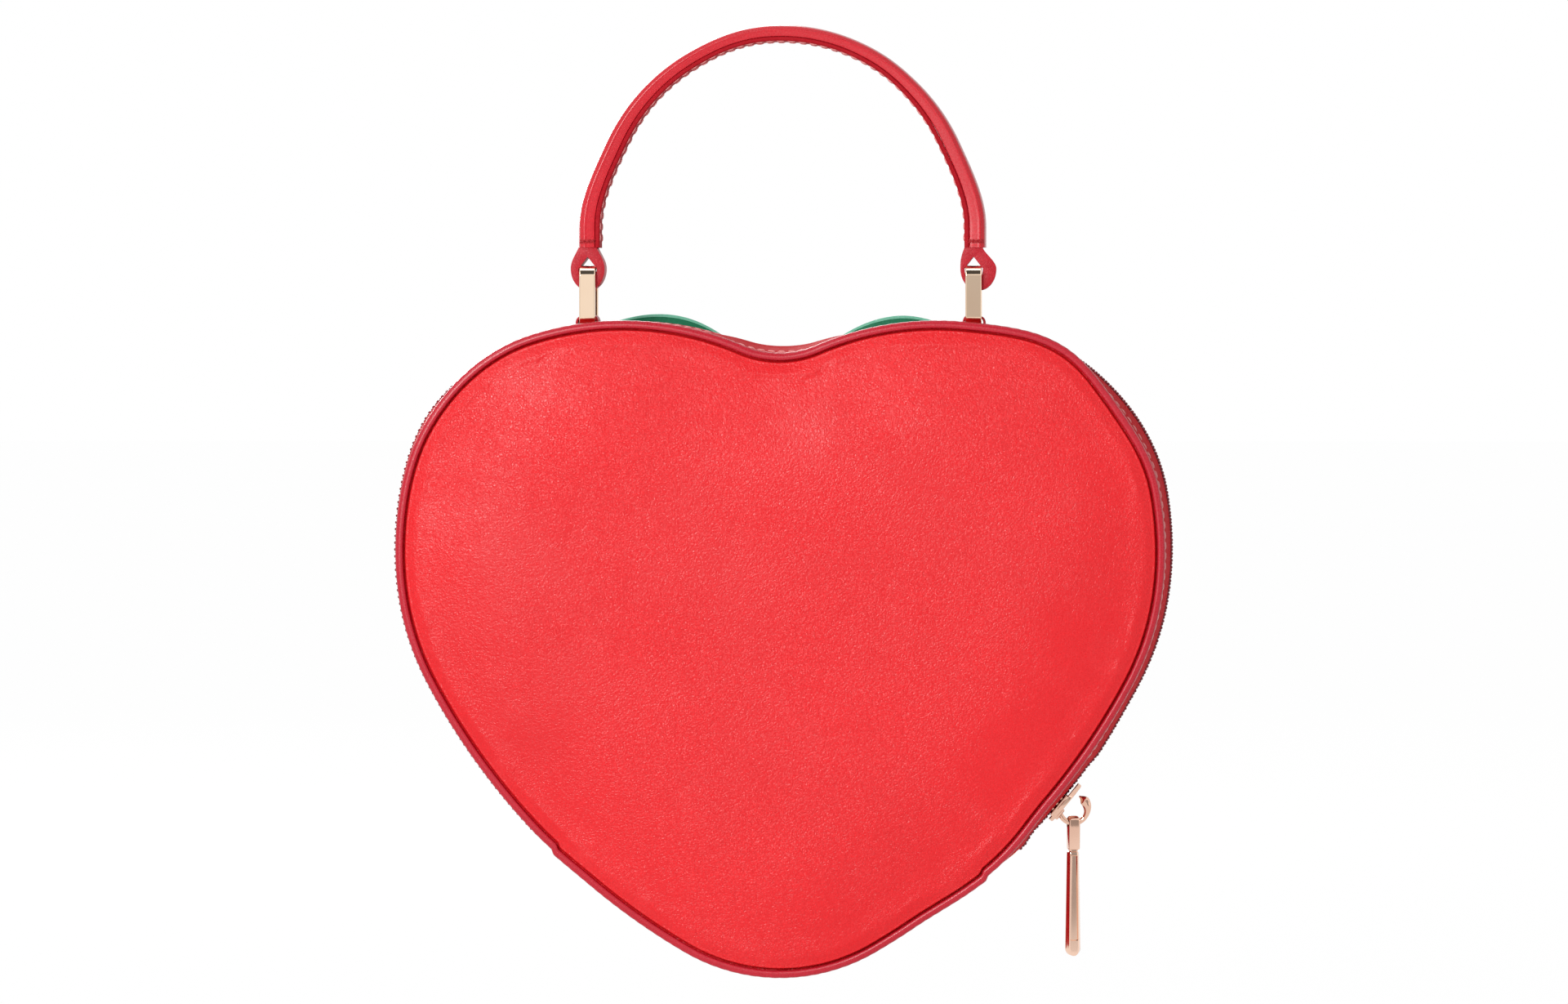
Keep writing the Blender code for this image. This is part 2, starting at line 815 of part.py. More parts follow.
def arch_frames():
    """Centre-plane points and outward directions from the left leg's end over to the right one."""
    frames = [(Vector((-1.0, 0.0)), Vector((0.0, -handle_radius - handle_leg)))]
    for step in range(arch_steps + 1):
        angle = pi - pi * step / arch_steps
        frames.append((Vector((cos(angle), sin(angle))), Vector((0.0, -handle_radius))))
    frames.append((Vector((1.0, 0.0)), Vector((0.0, -handle_radius - handle_leg))))
    return frames


def arch_sweep(name, section, collection, look):
    """A section of width and height above the handle's underside, swept over the arch."""
    loops = []
    for outward, centre in arch_frames():
        loop = []
        for across, up in section:
            flat = centre + outward * (handle_radius + up)
            loop.append(Vector((flat.x, across, flat.y)))
        loops.append(loop)
    return dress(loft(name, loops), name, collection, look)


def domed_section(half, bottom, wall_top, crown):
    """Flat side walls, then a low dome over them."""
    points = [(-half, bottom), (-half, wall_top)]
    for angle in (150.0, 120.0, 90.0, 60.0, 30.0):
        across = half * cos(radians(angle))
        up = wall_top + (crown - wall_top) * sin(radians(angle))
        points.append((across, up))
    points += [(half, wall_top), (half, bottom)]
    return points


def handle_outer(collection, look):
    bottom = underlay_thickness + clearance
    wall_top = handle_thickness * handle_wall_share
    half = handle_width / 2
    outer = domed_section(half, bottom, wall_top, handle_thickness)
    inner = domed_section(half - handle_skin, bottom, wall_top, handle_thickness - handle_skin)
    return arch_sweep("handle_outer", outer + list(reversed(inner)), collection, look)


def handle_core(collection, look):
    bottom = underlay_thickness + clearance
    wall_top = handle_thickness * handle_wall_share
    inset = handle_skin + clearance
    section = domed_section(
        handle_width / 2 - inset, bottom, wall_top - clearance, handle_thickness - inset - clearance
    )
    return arch_sweep("handle_core", section, collection, look)


def handle_underlay(collection, look):
    half = handle_width / 2
    section = [(-half, 0.0), (-half, underlay_thickness), (half, underlay_thickness), (half, 0.0)]
    return arch_sweep("handle_underlay", section, collection, look)


def loop_outline():
    """Outer edge of a handle loop: narrow neck, full belly, round bottom; around the pivot."""
    top = pivot_below_leg - clearance
    bottom = loop_hole_drop + loop_bottom
    points = []
    for step in range(loop_steps + 1):
        share = step / loop_steps
        height = top * (1.0 - share)
        belly = sin(pi / 2 * share) ** loop_belly_share
        points.append((loop_neck_half + (loop_half - loop_neck_half) * belly, height))
    for step in range(1, loop_steps + 1):
        angle = pi / 2 * step / loop_steps
        points.append((loop_half * cos(angle), -bottom * sin(angle)))
    mirrored = [(-x, z) for x, z in reversed(points[:-1])]
    return points + mirrored


def loop_hole():
    """The hole of a handle loop: a blunt point above the pivot and a round bottom below it."""
    points = []
    for step in range(loop_steps * 4):
        angle = pi / 2 * step / loop_steps
        across = cos(angle)
        up = sin(angle)
        power = 2.0 / (loop_point_share if up > 0.0 else 2.0)
        rise = loop_hole_rise if up > 0.0 else loop_hole_drop
        x = loop_hole_half * abs(across) ** power * (1 if across >= 0.0 else -1)
        z = rise * abs(up) ** power * (1 if up >= 0.0 else -1)
        points.append((x, z))
    return points


def handle_loop(name, side, collection, look):
    obj = flat_plate(name, [loop_outline(), loop_hole()], loop_width)
    obj.rotation_euler = (pi / 2, 0.0, 0.0)
    obj.location = (side * handle_centre, 0.0, upper_pivot)
    return dress(obj, name, collection, look)


def rounded_box(half_x, half_z, centre_z, radius):
    points = []
    for quarter, sign_x, sign_z in ((0, 1, 1), (1, -1, 1), (2, -1, -1), (3, 1, -1)):
        for step in range(ring_corner_steps + 1):
            angle = pi / 2 * (quarter + step / ring_corner_steps)
            x = sign_x * (half_x - radius) + radius * cos(angle)
            z = centre_z + sign_z * (half_z - radius) + radius * sin(angle)
            points.append((x, z))
    return points


def ring(name, side, collection, look):
    """A flat band bent to an oblong ring, its origin on its upper bar's pivot."""
    half_z = (ring_span + ring_wall) / 2
    centre_z = -ring_span / 2
    outer = rounded_box(ring_depth / 2, half_z, centre_z, ring_corner)
    inner = rounded_box(
        ring_depth / 2 - ring_wall, half_z - ring_wall, centre_z, ring_corner - ring_wall / 2
    )
    obj = flat_plate(name, [outer, inner], ring_band)
    obj.rotation_euler = (pi / 2, 0.0, pi / 2)
    obj.location = (side * handle_centre, 0.0, upper_pivot)
    return dress(obj, name, collection, look)


def tab_outline():
    """A strap humped over the ring's lower bar, with a flat foot on each side."""
    inner = []
    outer = []
    for step in range(tab_steps + 1):
        angle = pi * step / tab_steps
        power = 2.0 / tab_square_share
        across = cos(angle)
        x_share = abs(across) ** power * (1 if across >= 0.0 else -1)
        z_share = sin(angle) ** power if sin(angle) > 0.0 else 0.0
        inner.append((tab_tunnel_half * x_share, tab_tunnel_rise * z_share))
        outer.append((
            (tab_tunnel_half + tab_thickness) * x_share,
            tab_thickness + tab_tunnel_rise * z_share,
        ))
    foot = tab_tunnel_half + tab_thickness + tab_foot
    points = [(foot, 0.0), (foot, tab_thickness)] + outer[:]
    points += [(-foot, tab_thickness), (-foot, 0.0)] + list(reversed(inner))
    return points


def ring_tab(name, side, collection, look):
    """The tab's feet lie along the gusset, square to the outline where the ring stands."""
    x_axis = Vector((ring_out.y, 0.0, -side * ring_out.x))
    z_axis = Vector((side * ring_out.x, 0.0, ring_out.y))
    place = (side * tab_base.x, 0.0, tab_base.y - heart_drop)
    obj = flat_plate(name, [tab_outline()], tab_width)
    obj.matrix_world = turn_about(place, (x_axis, z_axis, x_axis.cross(z_axis)))
    return dress(obj, name, collection, look)


def slider_frame():
    """Place on the outline, direction along it and outward direction at the slider."""
    station = (1, radians(slider_turn))
    out = heart.outward(station)
    return heart.place(station), Vector((-out.y, out.x)), out


def slider_matrix():
    """Local X runs along the zip, local Y is +Y and local Z is outward."""
    place, along, out = slider_frame()
    x_axis = Vector((along.x, 0.0, along.y))
    z_axis = Vector((out.x, 0.0, out.y))
    return turn_about(
        (place.x, zip_plane, place.y - heart_drop), (x_axis, z_axis.cross(x_axis), z_axis)
    )


def slider_levels():
    """Heights above the outline: the inner plate's two faces, then the outer plate's."""
    teeth_top = -(gusset_inset + tape_drop - clearance - teeth_height - zip_swell)
    tape_bottom = -(gusset_inset + tape_drop + tape_thickness - zip_swell)
    inner_top = tape_bottom - slider_clearance
    outer_bottom = teeth_top + slider_clearance
    return inner_top - slider_plate, inner_top, outer_bottom, outer_bottom + slider_plate


def slider_plate_outline():
    half_x = slider_length / 2
    half_y = slider_width / 2
    return [
        (-half_x, -half_y + slider_corner),
        (-half_x + slider_corner, -half_y),
        (half_x - slider_corner, -half_y),
        (half_x, -half_y / 2),
        (half_x, half_y / 2),
        (half_x - slider_corner, half_y),
        (-half_x + slider_corner, half_y),
        (-half_x, half_y - slider_corner),
    ]


def slider_body(collection, cutters, look):
    """Two plates round the teeth, joined by a wedge between the two rows."""
    inner_low, inner_high, outer_low, outer_high = slider_levels()
    body = flat_plate("slider_body", [slider_plate_outline()], slider_plate)
    body.location = (0.0, 0.0, (outer_low + outer_high) / 2)
    body = as_mesh(body)
    inner = flat_plate("slider_inner_plate", [slider_plate_outline()], slider_plate)
    inner.location = (0.0, 0.0, (inner_low + inner_high) / 2)
    inner = as_mesh(inner)
    web_low = (inner_low + inner_high) / 2
    web_high = (outer_low + outer_high) / 2
    web = block(
        (slider_web_length, slider_web, web_high - web_low),
        (-slider_length / 2 + slider_web_length, 0.0, (web_low + web_high) / 2),
    )
    matrix = slider_matrix()
    bpy.context.view_layer.update()
    for obj in (body, inner, web):
        obj.matrix_world = matrix @ obj.matrix_world
    combine(body, inner, "UNION", cutters)
    combine(body, web, "UNION", cutters)
    return dress(body, "slider_body", collection, look)


def bail_height():
    """Height of the hook's centre above the outline."""
    return slider_levels()[3] + bail_rise


def slider_bail(collection, look):
    """An open hook of wire that rises from the outer plate and carries the pull."""
    places = []
    for step in range(bail_steps + 1):
        angle = radians(bail_root_angle + (bail_tip_angle - bail_root_angle) * step / bail_steps)
        places.append((bail_radius * cos(angle), 0.0, bail_radius * sin(angle)))
    obj = tube("slider_bail", places, bail_wire, 1, False)
    obj.matrix_world = slider_matrix() @ Matrix.Translation((0.0, 0.0, bail_height()))
    return dress(obj, "slider_bail", collection, look)


def pull_pivot():
    return slider_matrix() @ Vector((0.0, 0.0, bail_height()))


def pull_bar(collection, cutters, look):
    """The pull hangs straight down: a bored eye, a short neck and a tapered bar."""
    pivot = pull_pivot()
    wire_inside = bail_radius - bail_wire
    hole_top = clearance / 2 - sqrt(wire_inside ** 2 - (pull_eye_width / 2) ** 2)
    hole_bottom = -(bail_radius + bail_wire + clearance / 2)
    eye_top = hole_top + pull_eye_wall
    eye_bottom = eye_top - pull_eye_length
    neck_bottom = eye_bottom - pull_neck_length
    bar_bottom = eye_top - pull_length
    eye = block(
        (pull_eye_width, pull_eye_depth, pull_eye_length), (0.0, 0.0, (eye_top + eye_bottom) / 2)
    )
    rounding = eye.modifiers.new("rounding", "BEVEL")
    rounding.width = pull_eye_wall / 2
    rounding.segments = 1
    neck = block(
        (pull_neck_width, pull_thickness / 2, pull_neck_length + 2 * pull_neck_overlap),
        (0.0, 0.0, (eye_bottom + neck_bottom) / 2),
    )
    bar = as_mesh(pull_blade("pull_blade", neck_bottom, bar_bottom, 0.0, pull_thickness, 0.0))
    hole = block(
        (2 * pull_eye_width, 2 * (bail_wire + clearance / 2), hole_top - hole_bottom),
        (0.0, 0.0, (hole_top + hole_bottom) / 2),
    )
    channel = as_mesh(
        pull_blade(
            "pull_channel",
            neck_bottom - pull_channel_margin,
            bar_bottom + pull_channel_end,
            pull_channel_margin,
            2 * pull_channel_depth,
            -pull_thickness / 2,
        )
    )
    bpy.context.view_layer.update()
    for obj in (eye, neck, bar, hole, channel):
        obj.matrix_world = Matrix.Translation(pivot) @ obj.matrix_world
    combine(eye, neck, "UNION", cutters)
    combine(eye, bar, "UNION", cutters)
    combine(eye, hole, "DIFFERENCE", cutters)
    combine(eye, channel, "DIFFERENCE", cutters)
    return dress(eye, "pull_bar", collection, look)


def pull_blade(name, top, bottom, margin, thickness, depth):
    """A blade that widens downwards and ends in a half round; its Y depth is its middle."""
    full = pull_bottom_width / 2 - margin
    narrow = pull_top_width / 2 - margin
    points = [(narrow, top)]
    for step in range(pull_round_steps + 1):
        angle = pi * step / pull_round_steps
        points.append((full * cos(angle), bottom + full - full * sin(angle)))
    points.append((-narrow, top))
    obj = flat_plate(name, [points], thickness)
    obj.rotation_euler = (pi / 2, 0.0, 0.0)
    obj.location = (0.0, depth, 0.0)
    return obj


def build():
    clear_scene()
    bag = new_collection("strawberry_crossbody_bag")
    cutters = new_collection("cutters")

    leather_look = (red_leather, 0.38, 0.0)
    edge_look = (pink_edge, 0.42, 0.0)
    tape_look = (dark_tape, 0.75, 0.0)
    metal_look = (pale_gold, 0.2, 1.0)
    green_look = (leaf_green, 0.45, 0.0)
    lining_look = (lining_rose, 0.85, 0.0)
    inner_look = (inner_grey, 0.9, 0.0)

    handle_outer(bag, leather_look)
    handle_core(bag, inner_look)
    handle_underlay(bag, edge_look)
    for name, side in (("left", -1), ("right", 1)):
        handle_loop("handle_loop_" + name, side, bag, leather_look)
        ring("ring_" + name, side, bag, metal_look)
        ring_tab("ring_tab_" + name, side, bag, edge_look)

    back_panel(bag, leather_look)
    back_foam(bag, inner_look)
    front_panel(bag, leather_look)
    front_foam(bag, inner_look)
    for name, side in (("back", -1), ("front", 1)):
        piping(name + "_piping", side, bag, edge_look)
        stiff_board(name + "_board", side, bag, inner_look)
        gusset(name + "_gusset", side, bag, leather_look)
        lining_tray(name + "_lining", side, bag, lining_look)
        zip_tape(name + "_zip_tape", side, bag, tape_look)
        zip_teeth(name + "_zip_teeth", side, bag, tape_look)
        zip_stop(name + "_zip_stop_right", side, False, bag, metal_look)
        zip_stop(name + "_zip_stop_left", side, True, bag, metal_look)
    slip_pocket(bag, lining_look)
    bottom_gusset(bag, leather_look)

    for name, side in (("left", -1), ("right", 1)):
        leaf("leaf_upper_" + name, upper_leaf, side, bag, green_look)
        leaf("leaf_lower_" + name, lower_leaf, side, bag, green_look)
    leaf("leaf_middle", middle_leaf, 1, bag, green_look)
    calyx_hub(bag, green_look)
    count = 0
    for height, row in seed_rows:
        for x in [-place for place in reversed(row) if place > 0.0] + list(row):
            count += 1
            seed(f"seed_{count:02d}", x, height, bag, metal_look)

    slider_body(bag, cutters, metal_look)
    slider_bail(bag, metal_look)
    pull_bar(bag, cutters, metal_look)

    for obj in bag.objects:
        if obj.type == "MESH":
            obj.data.shade_smooth()
            obj.data.set_sharp_from_angle(angle=radians(40.0))

    centre, bend = heart.bend_centre((1, radians(slider_turn)))
    pivot = pull_pivot()
    print("upper pivot z", upper_pivot, "lower pivot z", lower_pivot, "x", handle_centre)
    print("slider centre x", centre.x, "z", centre.y - heart_drop, "radius", bend)
    print("pull pivot x", pivot.x, "z", pivot.z, "heart drop", heart_drop)


build()
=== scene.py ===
import bmesh
import bpy
from bisect import bisect_left
from math import atan2, cos, pi, radians, sin, sqrt, tau
from mathutils import Matrix, Vector
from mathutils.bvhtree import BVHTree


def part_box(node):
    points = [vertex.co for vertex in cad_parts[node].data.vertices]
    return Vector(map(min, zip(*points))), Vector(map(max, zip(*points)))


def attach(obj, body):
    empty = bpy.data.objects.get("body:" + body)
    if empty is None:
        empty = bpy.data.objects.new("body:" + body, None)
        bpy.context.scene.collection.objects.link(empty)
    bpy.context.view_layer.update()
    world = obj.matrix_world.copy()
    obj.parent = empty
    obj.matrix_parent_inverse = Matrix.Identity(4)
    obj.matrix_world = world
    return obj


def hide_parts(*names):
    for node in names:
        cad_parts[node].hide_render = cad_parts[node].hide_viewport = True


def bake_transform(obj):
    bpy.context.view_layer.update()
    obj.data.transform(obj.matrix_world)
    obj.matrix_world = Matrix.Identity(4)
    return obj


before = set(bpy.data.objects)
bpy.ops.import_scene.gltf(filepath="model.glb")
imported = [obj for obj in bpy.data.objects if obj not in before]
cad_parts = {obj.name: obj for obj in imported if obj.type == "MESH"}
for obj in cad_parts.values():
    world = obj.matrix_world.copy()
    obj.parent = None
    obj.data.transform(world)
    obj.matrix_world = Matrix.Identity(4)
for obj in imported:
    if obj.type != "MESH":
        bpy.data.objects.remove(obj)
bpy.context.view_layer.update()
mm = 0.001

# The heart-shaped bag: a plain padded back, a domed strawberry front and a zip round its sides.
# Sizes are in metres. Right and left are as seen from the plain back.


def freshStart():
    if bpy.context.mode != "OBJECT":
        bpy.ops.object.mode_set(mode="OBJECT")
    bpy.ops.object.select_all(action="DESELECT")


def takeUp(obj):
    freshStart()
    obj.select_set(True)
    bpy.context.view_layer.objects.active = obj
    return obj


def edit(obj, kind="VERT"):
    takeUp(obj)
    bpy.ops.object.mode_set(mode="EDIT")
    bpy.ops.mesh.select_mode(type=kind)


def editAll(obj, kind="VERT"):
    edit(obj, kind)
    bpy.ops.mesh.select_all(action="SELECT")


def done():
    bpy.ops.object.mode_set(mode="OBJECT")


def pick(obj, kind, test):
    # selects, in edit mode, what passes the test
    mesh = bmesh.from_edit_mesh(obj.data)
    for group in (mesh.verts, mesh.edges, mesh.faces):
        for part in group:
            part.select = False
    for part in getattr(mesh, kind):
        if test(part):
            part.select_set(True)
    bmesh.update_edit_mesh(obj.data)


def modify(obj, kind, **settings):
    takeUp(obj)
    modifier = obj.modifiers.new(kind.lower(), kind)
    for key, value in settings.items():
        setattr(modifier, key, value)
    bpy.ops.object.modifier_apply(modifier=modifier.name)
    return obj


def smoothen(obj, levels):
    return modify(obj, "SUBSURF", levels=levels, render_levels=levels)


def softenEdges(obj, width, segments=2, angle=40):
    return modify(
        obj, "BEVEL", width=width, segments=segments, limit_method="ANGLE", angle_limit=radians(angle)
    )


def faceOut(obj):
    editAll(obj)
    bpy.ops.mesh.normals_make_consistent(inside=False)
    done()
    return obj


def turnOver(obj):
    editAll(obj)
    bpy.ops.mesh.flip_normals()
    done()


def faceAwayFrom(obj, middle):
    # an open sheet is turned so that its faces look away from a point
    looks = sum((face.center - middle).dot(face.normal) * face.area for face in obj.data.polygons)
    if looks < 0.0:
        turnOver(obj)


def finishPiece(obj, name, body, look, nodes=(), angle=38):
    takeUp(obj)
    obj.name = obj.data.name = name
    bpy.ops.object.transform_apply(location=True, rotation=True, scale=True)
    bpy.ops.object.shade_smooth_by_angle(angle=radians(angle))
    if look is paleGold or look is roseGold:
        modify(obj, "WEIGHTED_NORMAL", keep_sharp=True)  # flat faces mirror flatly
    obj.data.materials.clear()
    obj.data.materials.append(look)
    if body:
        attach(obj, body)
    if nodes:
        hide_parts(*nodes)
    return obj


def smoothStep(value):
    value = min(max(value, 0.0), 1.0)
    return value * value * (3.0 - 2.0 * value)


def signedPower(value, power):
    return abs(value) ** power * (1.0 if value >= 0.0 else -1.0)


# Materials


class Wire:
    # a shader socket that takes part in plain arithmetic
    def __init__(self, tree, socket=None):
        self.tree = tree
        self.socket = socket

    def node(self, kind, settings=None, inputs=None, output=0):
        made = self.tree.nodes.new(kind)
        for key, value in (settings or {}).items():
            if key == "stops":
                elements = made.color_ramp.elements
                while len(elements) < len(value):
                    elements.new(0.5)
                for element, (place, colour) in zip(elements, value):
                    element.position = place
                    element.color = (*colour, 1.0)
            else:
                setattr(made, key, value)
        for key, value in (inputs or {}).items():
            if isinstance(value, Wire):
                self.tree.links.new(value.socket, made.inputs[key])
            elif isinstance(value, tuple) and made.inputs[key].type == "RGBA":
                made.inputs[key].default_value = (*value[:3], 1.0)
            else:
                made.inputs[key].default_value = value
        return Wire(self.tree, made.outputs[output])

    def into(self, shader, name):
        self.tree.links.new(self.socket, shader.inputs[name])

    def maths(self, operation, first, second=0.0):
        return self.node("ShaderNodeMath", {"operation": operation}, {0: first, 1: second})

    def __add__(self, other):
        return self.maths("ADD", self, other)

    __radd__ = __add__

    def __sub__(self, other):
        return self.maths("SUBTRACT", self, other)

    def __rsub__(self, other):
        return self.maths("SUBTRACT", other, self)

    def __mul__(self, other):
        return self.maths("MULTIPLY", self, other)

    __rmul__ = __mul__

    def __truediv__(self, other):
        return self.maths("DIVIDE", self, other)

    def __rtruediv__(self, other):
        return self.maths("DIVIDE", other, self)


def newLook(name):
    material = bpy.data.materials.new(name)
    material.use_nodes = True
    tree = material.node_tree
    return material, tree.nodes["Principled BSDF"], Wire(tree)


def noiseOn(wire, place, scale, detail=2.0, roughness=0.5):
    inputs = {"Vector": place, "Scale": scale, "Detail": detail, "Roughness": roughness}
    return wire.node("ShaderNodeTexNoise", None, inputs)


def rescale(wire, value, low, high, first, last):
    return wire.node("ShaderNodeMapRange", None, {0: value, 1: low, 2: high, 3: first, 4: last})


def blendOf(wire, factor, first, second):
    return wire.node("ShaderNodeMix", {"data_type": "RGBA"}, {0: factor, 6: first, 7: second}, output=2)


def setShader(shader, **values):
    for key, value in values.items():
        shader.inputs[key].default_value = value


def bumpOn(wire, shader, height, strength, distance):
    inputs = {"Height": height, "Strength": strength, "Distance": distance}
    wire.node("ShaderNodeBump", None, inputs).into(shader, "Normal")


def leatherLook(name, colour, deep, worn, roughness=0.4, grain=0.5, cell=0.00072, gloss=0.32):
    # pebbled leather: wormy raised grain, darker creases, a slow drift of colour and rubbed high spots
    material, shader, wire = newLook(name)
    place = wire.node("ShaderNodeTexCoord", output=3)
    sway = wire.node("ShaderNodeTexNoise", None, {"Vector": place, "Scale": 420.0, "Detail": 1.0}, output=1)
    bent = wire.node("ShaderNodeVectorMath", {"operation": "SCALE"}, {0: sway, "Scale": cell * 1.4})
    moved = wire.node("ShaderNodeVectorMath", {"operation": "ADD"}, {0: place, 1: bent})
    cells = wire.node(
        "ShaderNodeTexVoronoi", {"feature": "DISTANCE_TO_EDGE"}, {"Vector": moved, "Scale": 1.0 / cell}
    )
    drift = noiseOn(wire, place, 22.0, 4.0, 0.6)
    worms = rescale(wire, noiseOn(wire, place, 0.9 / cell, 2.0, 0.55), 0.36, 0.64, 0.0, 1.0)
    crease = rescale(wire, cells, 0.0, 0.22, 1.0, 0.0)
    patches = rescale(wire, noiseOn(wire, place, 34.0, 3.0, 0.6), 0.35, 0.65, 0.35, 1.0)
    rubbed = rescale(wire, noiseOn(wire, place, 60.0, 5.0, 0.65), 0.56, 0.78, 0.0, 1.0)
    height = ((1.0 - crease) * 0.4 + worms * 0.6) * patches
    base = blendOf(wire, (1.0 - height) * 0.3 + (drift - 0.5) * 0.45, colour, deep)
    blendOf(wire, rubbed * 0.2 + height * 0.16, base, worn).into(shader, "Base Color")
    (roughness + crease * 0.08 + (drift - 0.5) * 0.14 - rubbed * 0.05).into(shader, "Roughness")
    bumpOn(wire, shader, height, grain, 0.14 * mm)
    setShader(shader, **{"Specular IOR Level": gloss})
    return material


def clothLook(name, colour, deep, thread=0.0006, alongSurface=False):
    # plain weave: two sets of threads that pass over and under
    material, shader, wire = newLook(name)
    source = wire.node("ShaderNodeTexCoord", output=2 if alongSurface else 3)
    parts = [wire.node("ShaderNodeSeparateXYZ", None, {0: source}, output=axis) for axis in range(3)]
    turn = tau / thread / 2
    first = wire.maths("SINE", parts[0] * turn)
    second = wire.maths("SINE", parts[1 if alongSurface else 2] * turn)
    if not alongSurface:
        first = wire.maths("SINE", (parts[0] + parts[1]) * turn)
    over = first * second
    fuzz = noiseOn(wire, source, 1.0 / thread, 2.0)
    wear = noiseOn(wire, source, 30.0, 4.0)
    ridge = wire.maths("ABSOLUTE", over) * 0.5 + fuzz * 0.5
    blendOf(wire, 1.0 - ridge + (wear - 0.5) * 0.5, colour, deep).into(shader, "Base Color")
    (0.78 + fuzz * 0.15).into(shader, "Roughness")
    bumpOn(wire, shader, ridge, 0.6, 0.12 * mm)
    setShader(shader, **{"Specular IOR Level": 0.2, "Sheen Weight": 0.15, "Sheen Roughness": 0.5})
    return material


def threadLook(name, colour, deep):
    # twisted sewing thread: fine slanting strands
    material, shader, wire = newLook(name)
    place = wire.node("ShaderNodeTexCoord", output=3)
    strands = wire.node(
        "ShaderNodeTexWave", {"wave_type": "BANDS", "bands_direction": "DIAGONAL"},
        {"Vector": place, "Scale": 900.0, "Distortion": 1.2, "Detail": 1.0}, output=1,
    )
    drift = noiseOn(wire, place, 90.0, 2.0)
    blendOf(wire, strands * 0.45 + (drift - 0.5) * 0.4, colour, deep).into(shader, "Base Color")
    (0.5 + strands * 0.2).into(shader, "Roughness")
    bumpOn(wire, shader, strands, 0.5, 0.04 * mm)
    setShader(shader, **{"Specular IOR Level": 0.35, "Sheen Weight": 0.1, "Sheen Roughness": 0.4})
    return material


def goldLook(name, colour, warm, roughness=0.12):
    # polished pale gold: faint smears, a slow change of tint and hair-fine rub marks
    material, shader, wire = newLook(name)
    place = wire.node("ShaderNodeTexCoord", output=3)
    smear = noiseOn(wire, place, 140.0, 4.0, 0.6)
    tint = noiseOn(wire, place, 45.0, 2.0)
    stretched = wire.node("ShaderNodeMapping", None, {"Vector": place, "Scale": (5200.0, 5200.0, 260.0)})
    rub = noiseOn(wire, stretched, 1.0, 1.0)
    blendOf(wire, rescale(wire, tint, 0.35, 0.7, 0.0, 1.0), colour, warm).into(shader, "Base Color")
    (roughness + (smear - 0.5) * 0.05).into(shader, "Roughness")
    bumpOn(wire, shader, rub, 0.05, 0.01 * mm)
    setShader(shader, Metallic=1.0)
    return material


# leathers: colour, creases, rubbed spots, roughness, depth of grain and gloss
redLeather = leatherLook(
    "redLeather", (0.83, 0.011, 0.017), (0.54, 0.004, 0.008), (0.88, 0.07, 0.075), 0.27, 1.0
)
bandLeather = leatherLook(
    "bandLeather", (0.66, 0.010, 0.018), (0.42, 0.003, 0.008), (0.74, 0.04, 0.05), 0.62, 0.4, gloss=0.08
)
rimLeather = leatherLook(
    "rimLeather", (0.54, 0.008, 0.026), (0.36, 0.003, 0.012), (0.64, 0.035, 0.06), 0.26, 0.15, gloss=0.4
)
handleLeather = leatherLook(
    "handleLeather", (0.64, 0.008, 0.020), (0.40, 0.002, 0.008), (0.70, 0.03, 0.045), 0.22, 0.04, gloss=0.4
)
stripLeather = leatherLook(
    "stripLeather", (0.42, 0.008, 0.016), (0.26, 0.002, 0.006), (0.52, 0.03, 0.04), 0.6, 0.4, gloss=0.08
)
loopLeather = leatherLook(
    "loopLeather", (0.50, 0.008, 0.020), (0.30, 0.003, 0.008), (0.60, 0.05, 0.065), 0.38, 0.35, gloss=0.22
)
greenLeather = leatherLook(
    "greenLeather", (0.004, 0.200, 0.086), (0.001, 0.075, 0.034), (0.02, 0.31, 0.16), 0.42, 0.55, gloss=0.2
)
# pale mint for the leaves' cut edges and borders: a painted highlight along them
leafEdgeHighlight = leatherLook(
    "leafEdgeHighlight", (0.20, 0.60, 0.42), (0.05, 0.32, 0.20), (0.34, 0.72, 0.55), 0.5, 0.3, gloss=0.2
)
liningCloth = clothLook("liningCloth", (0.56, 0.20, 0.21), (0.36, 0.10, 0.11))
tapeCloth = clothLook("tapeCloth", (0.26, 0.014, 0.026), (0.10, 0.005, 0.010), 0.0008, True)
coilPlastic = leatherLook(
    "coilPlastic", (0.26, 0.014, 0.024), (0.13, 0.005, 0.010), (0.34, 0.04, 0.05), 0.32, 0.1
)
paleThread = threadLook("paleThread", (0.88, 0.36, 0.35), (0.70, 0.19, 0.19))
redThread = threadLook("redThread", (0.66, 0.05, 0.06), (0.40, 0.015, 0.02))
darkThread = threadLook("darkThread", (0.42, 0.008, 0.014), (0.22, 0.003, 0.006))
greenThread = threadLook("greenThread", (0.02, 0.26, 0.12), (0.005, 0.10, 0.05))
paleGold = goldLook("paleGold", (0.91, 0.70, 0.52), (0.87, 0.63, 0.45), 0.06)
roseGold = goldLook("roseGold", (0.90, 0.62, 0.48), (0.78, 0.49, 0.37), 0.08)
print("materials made")


# The heart's outline, which everything round the bag runs on

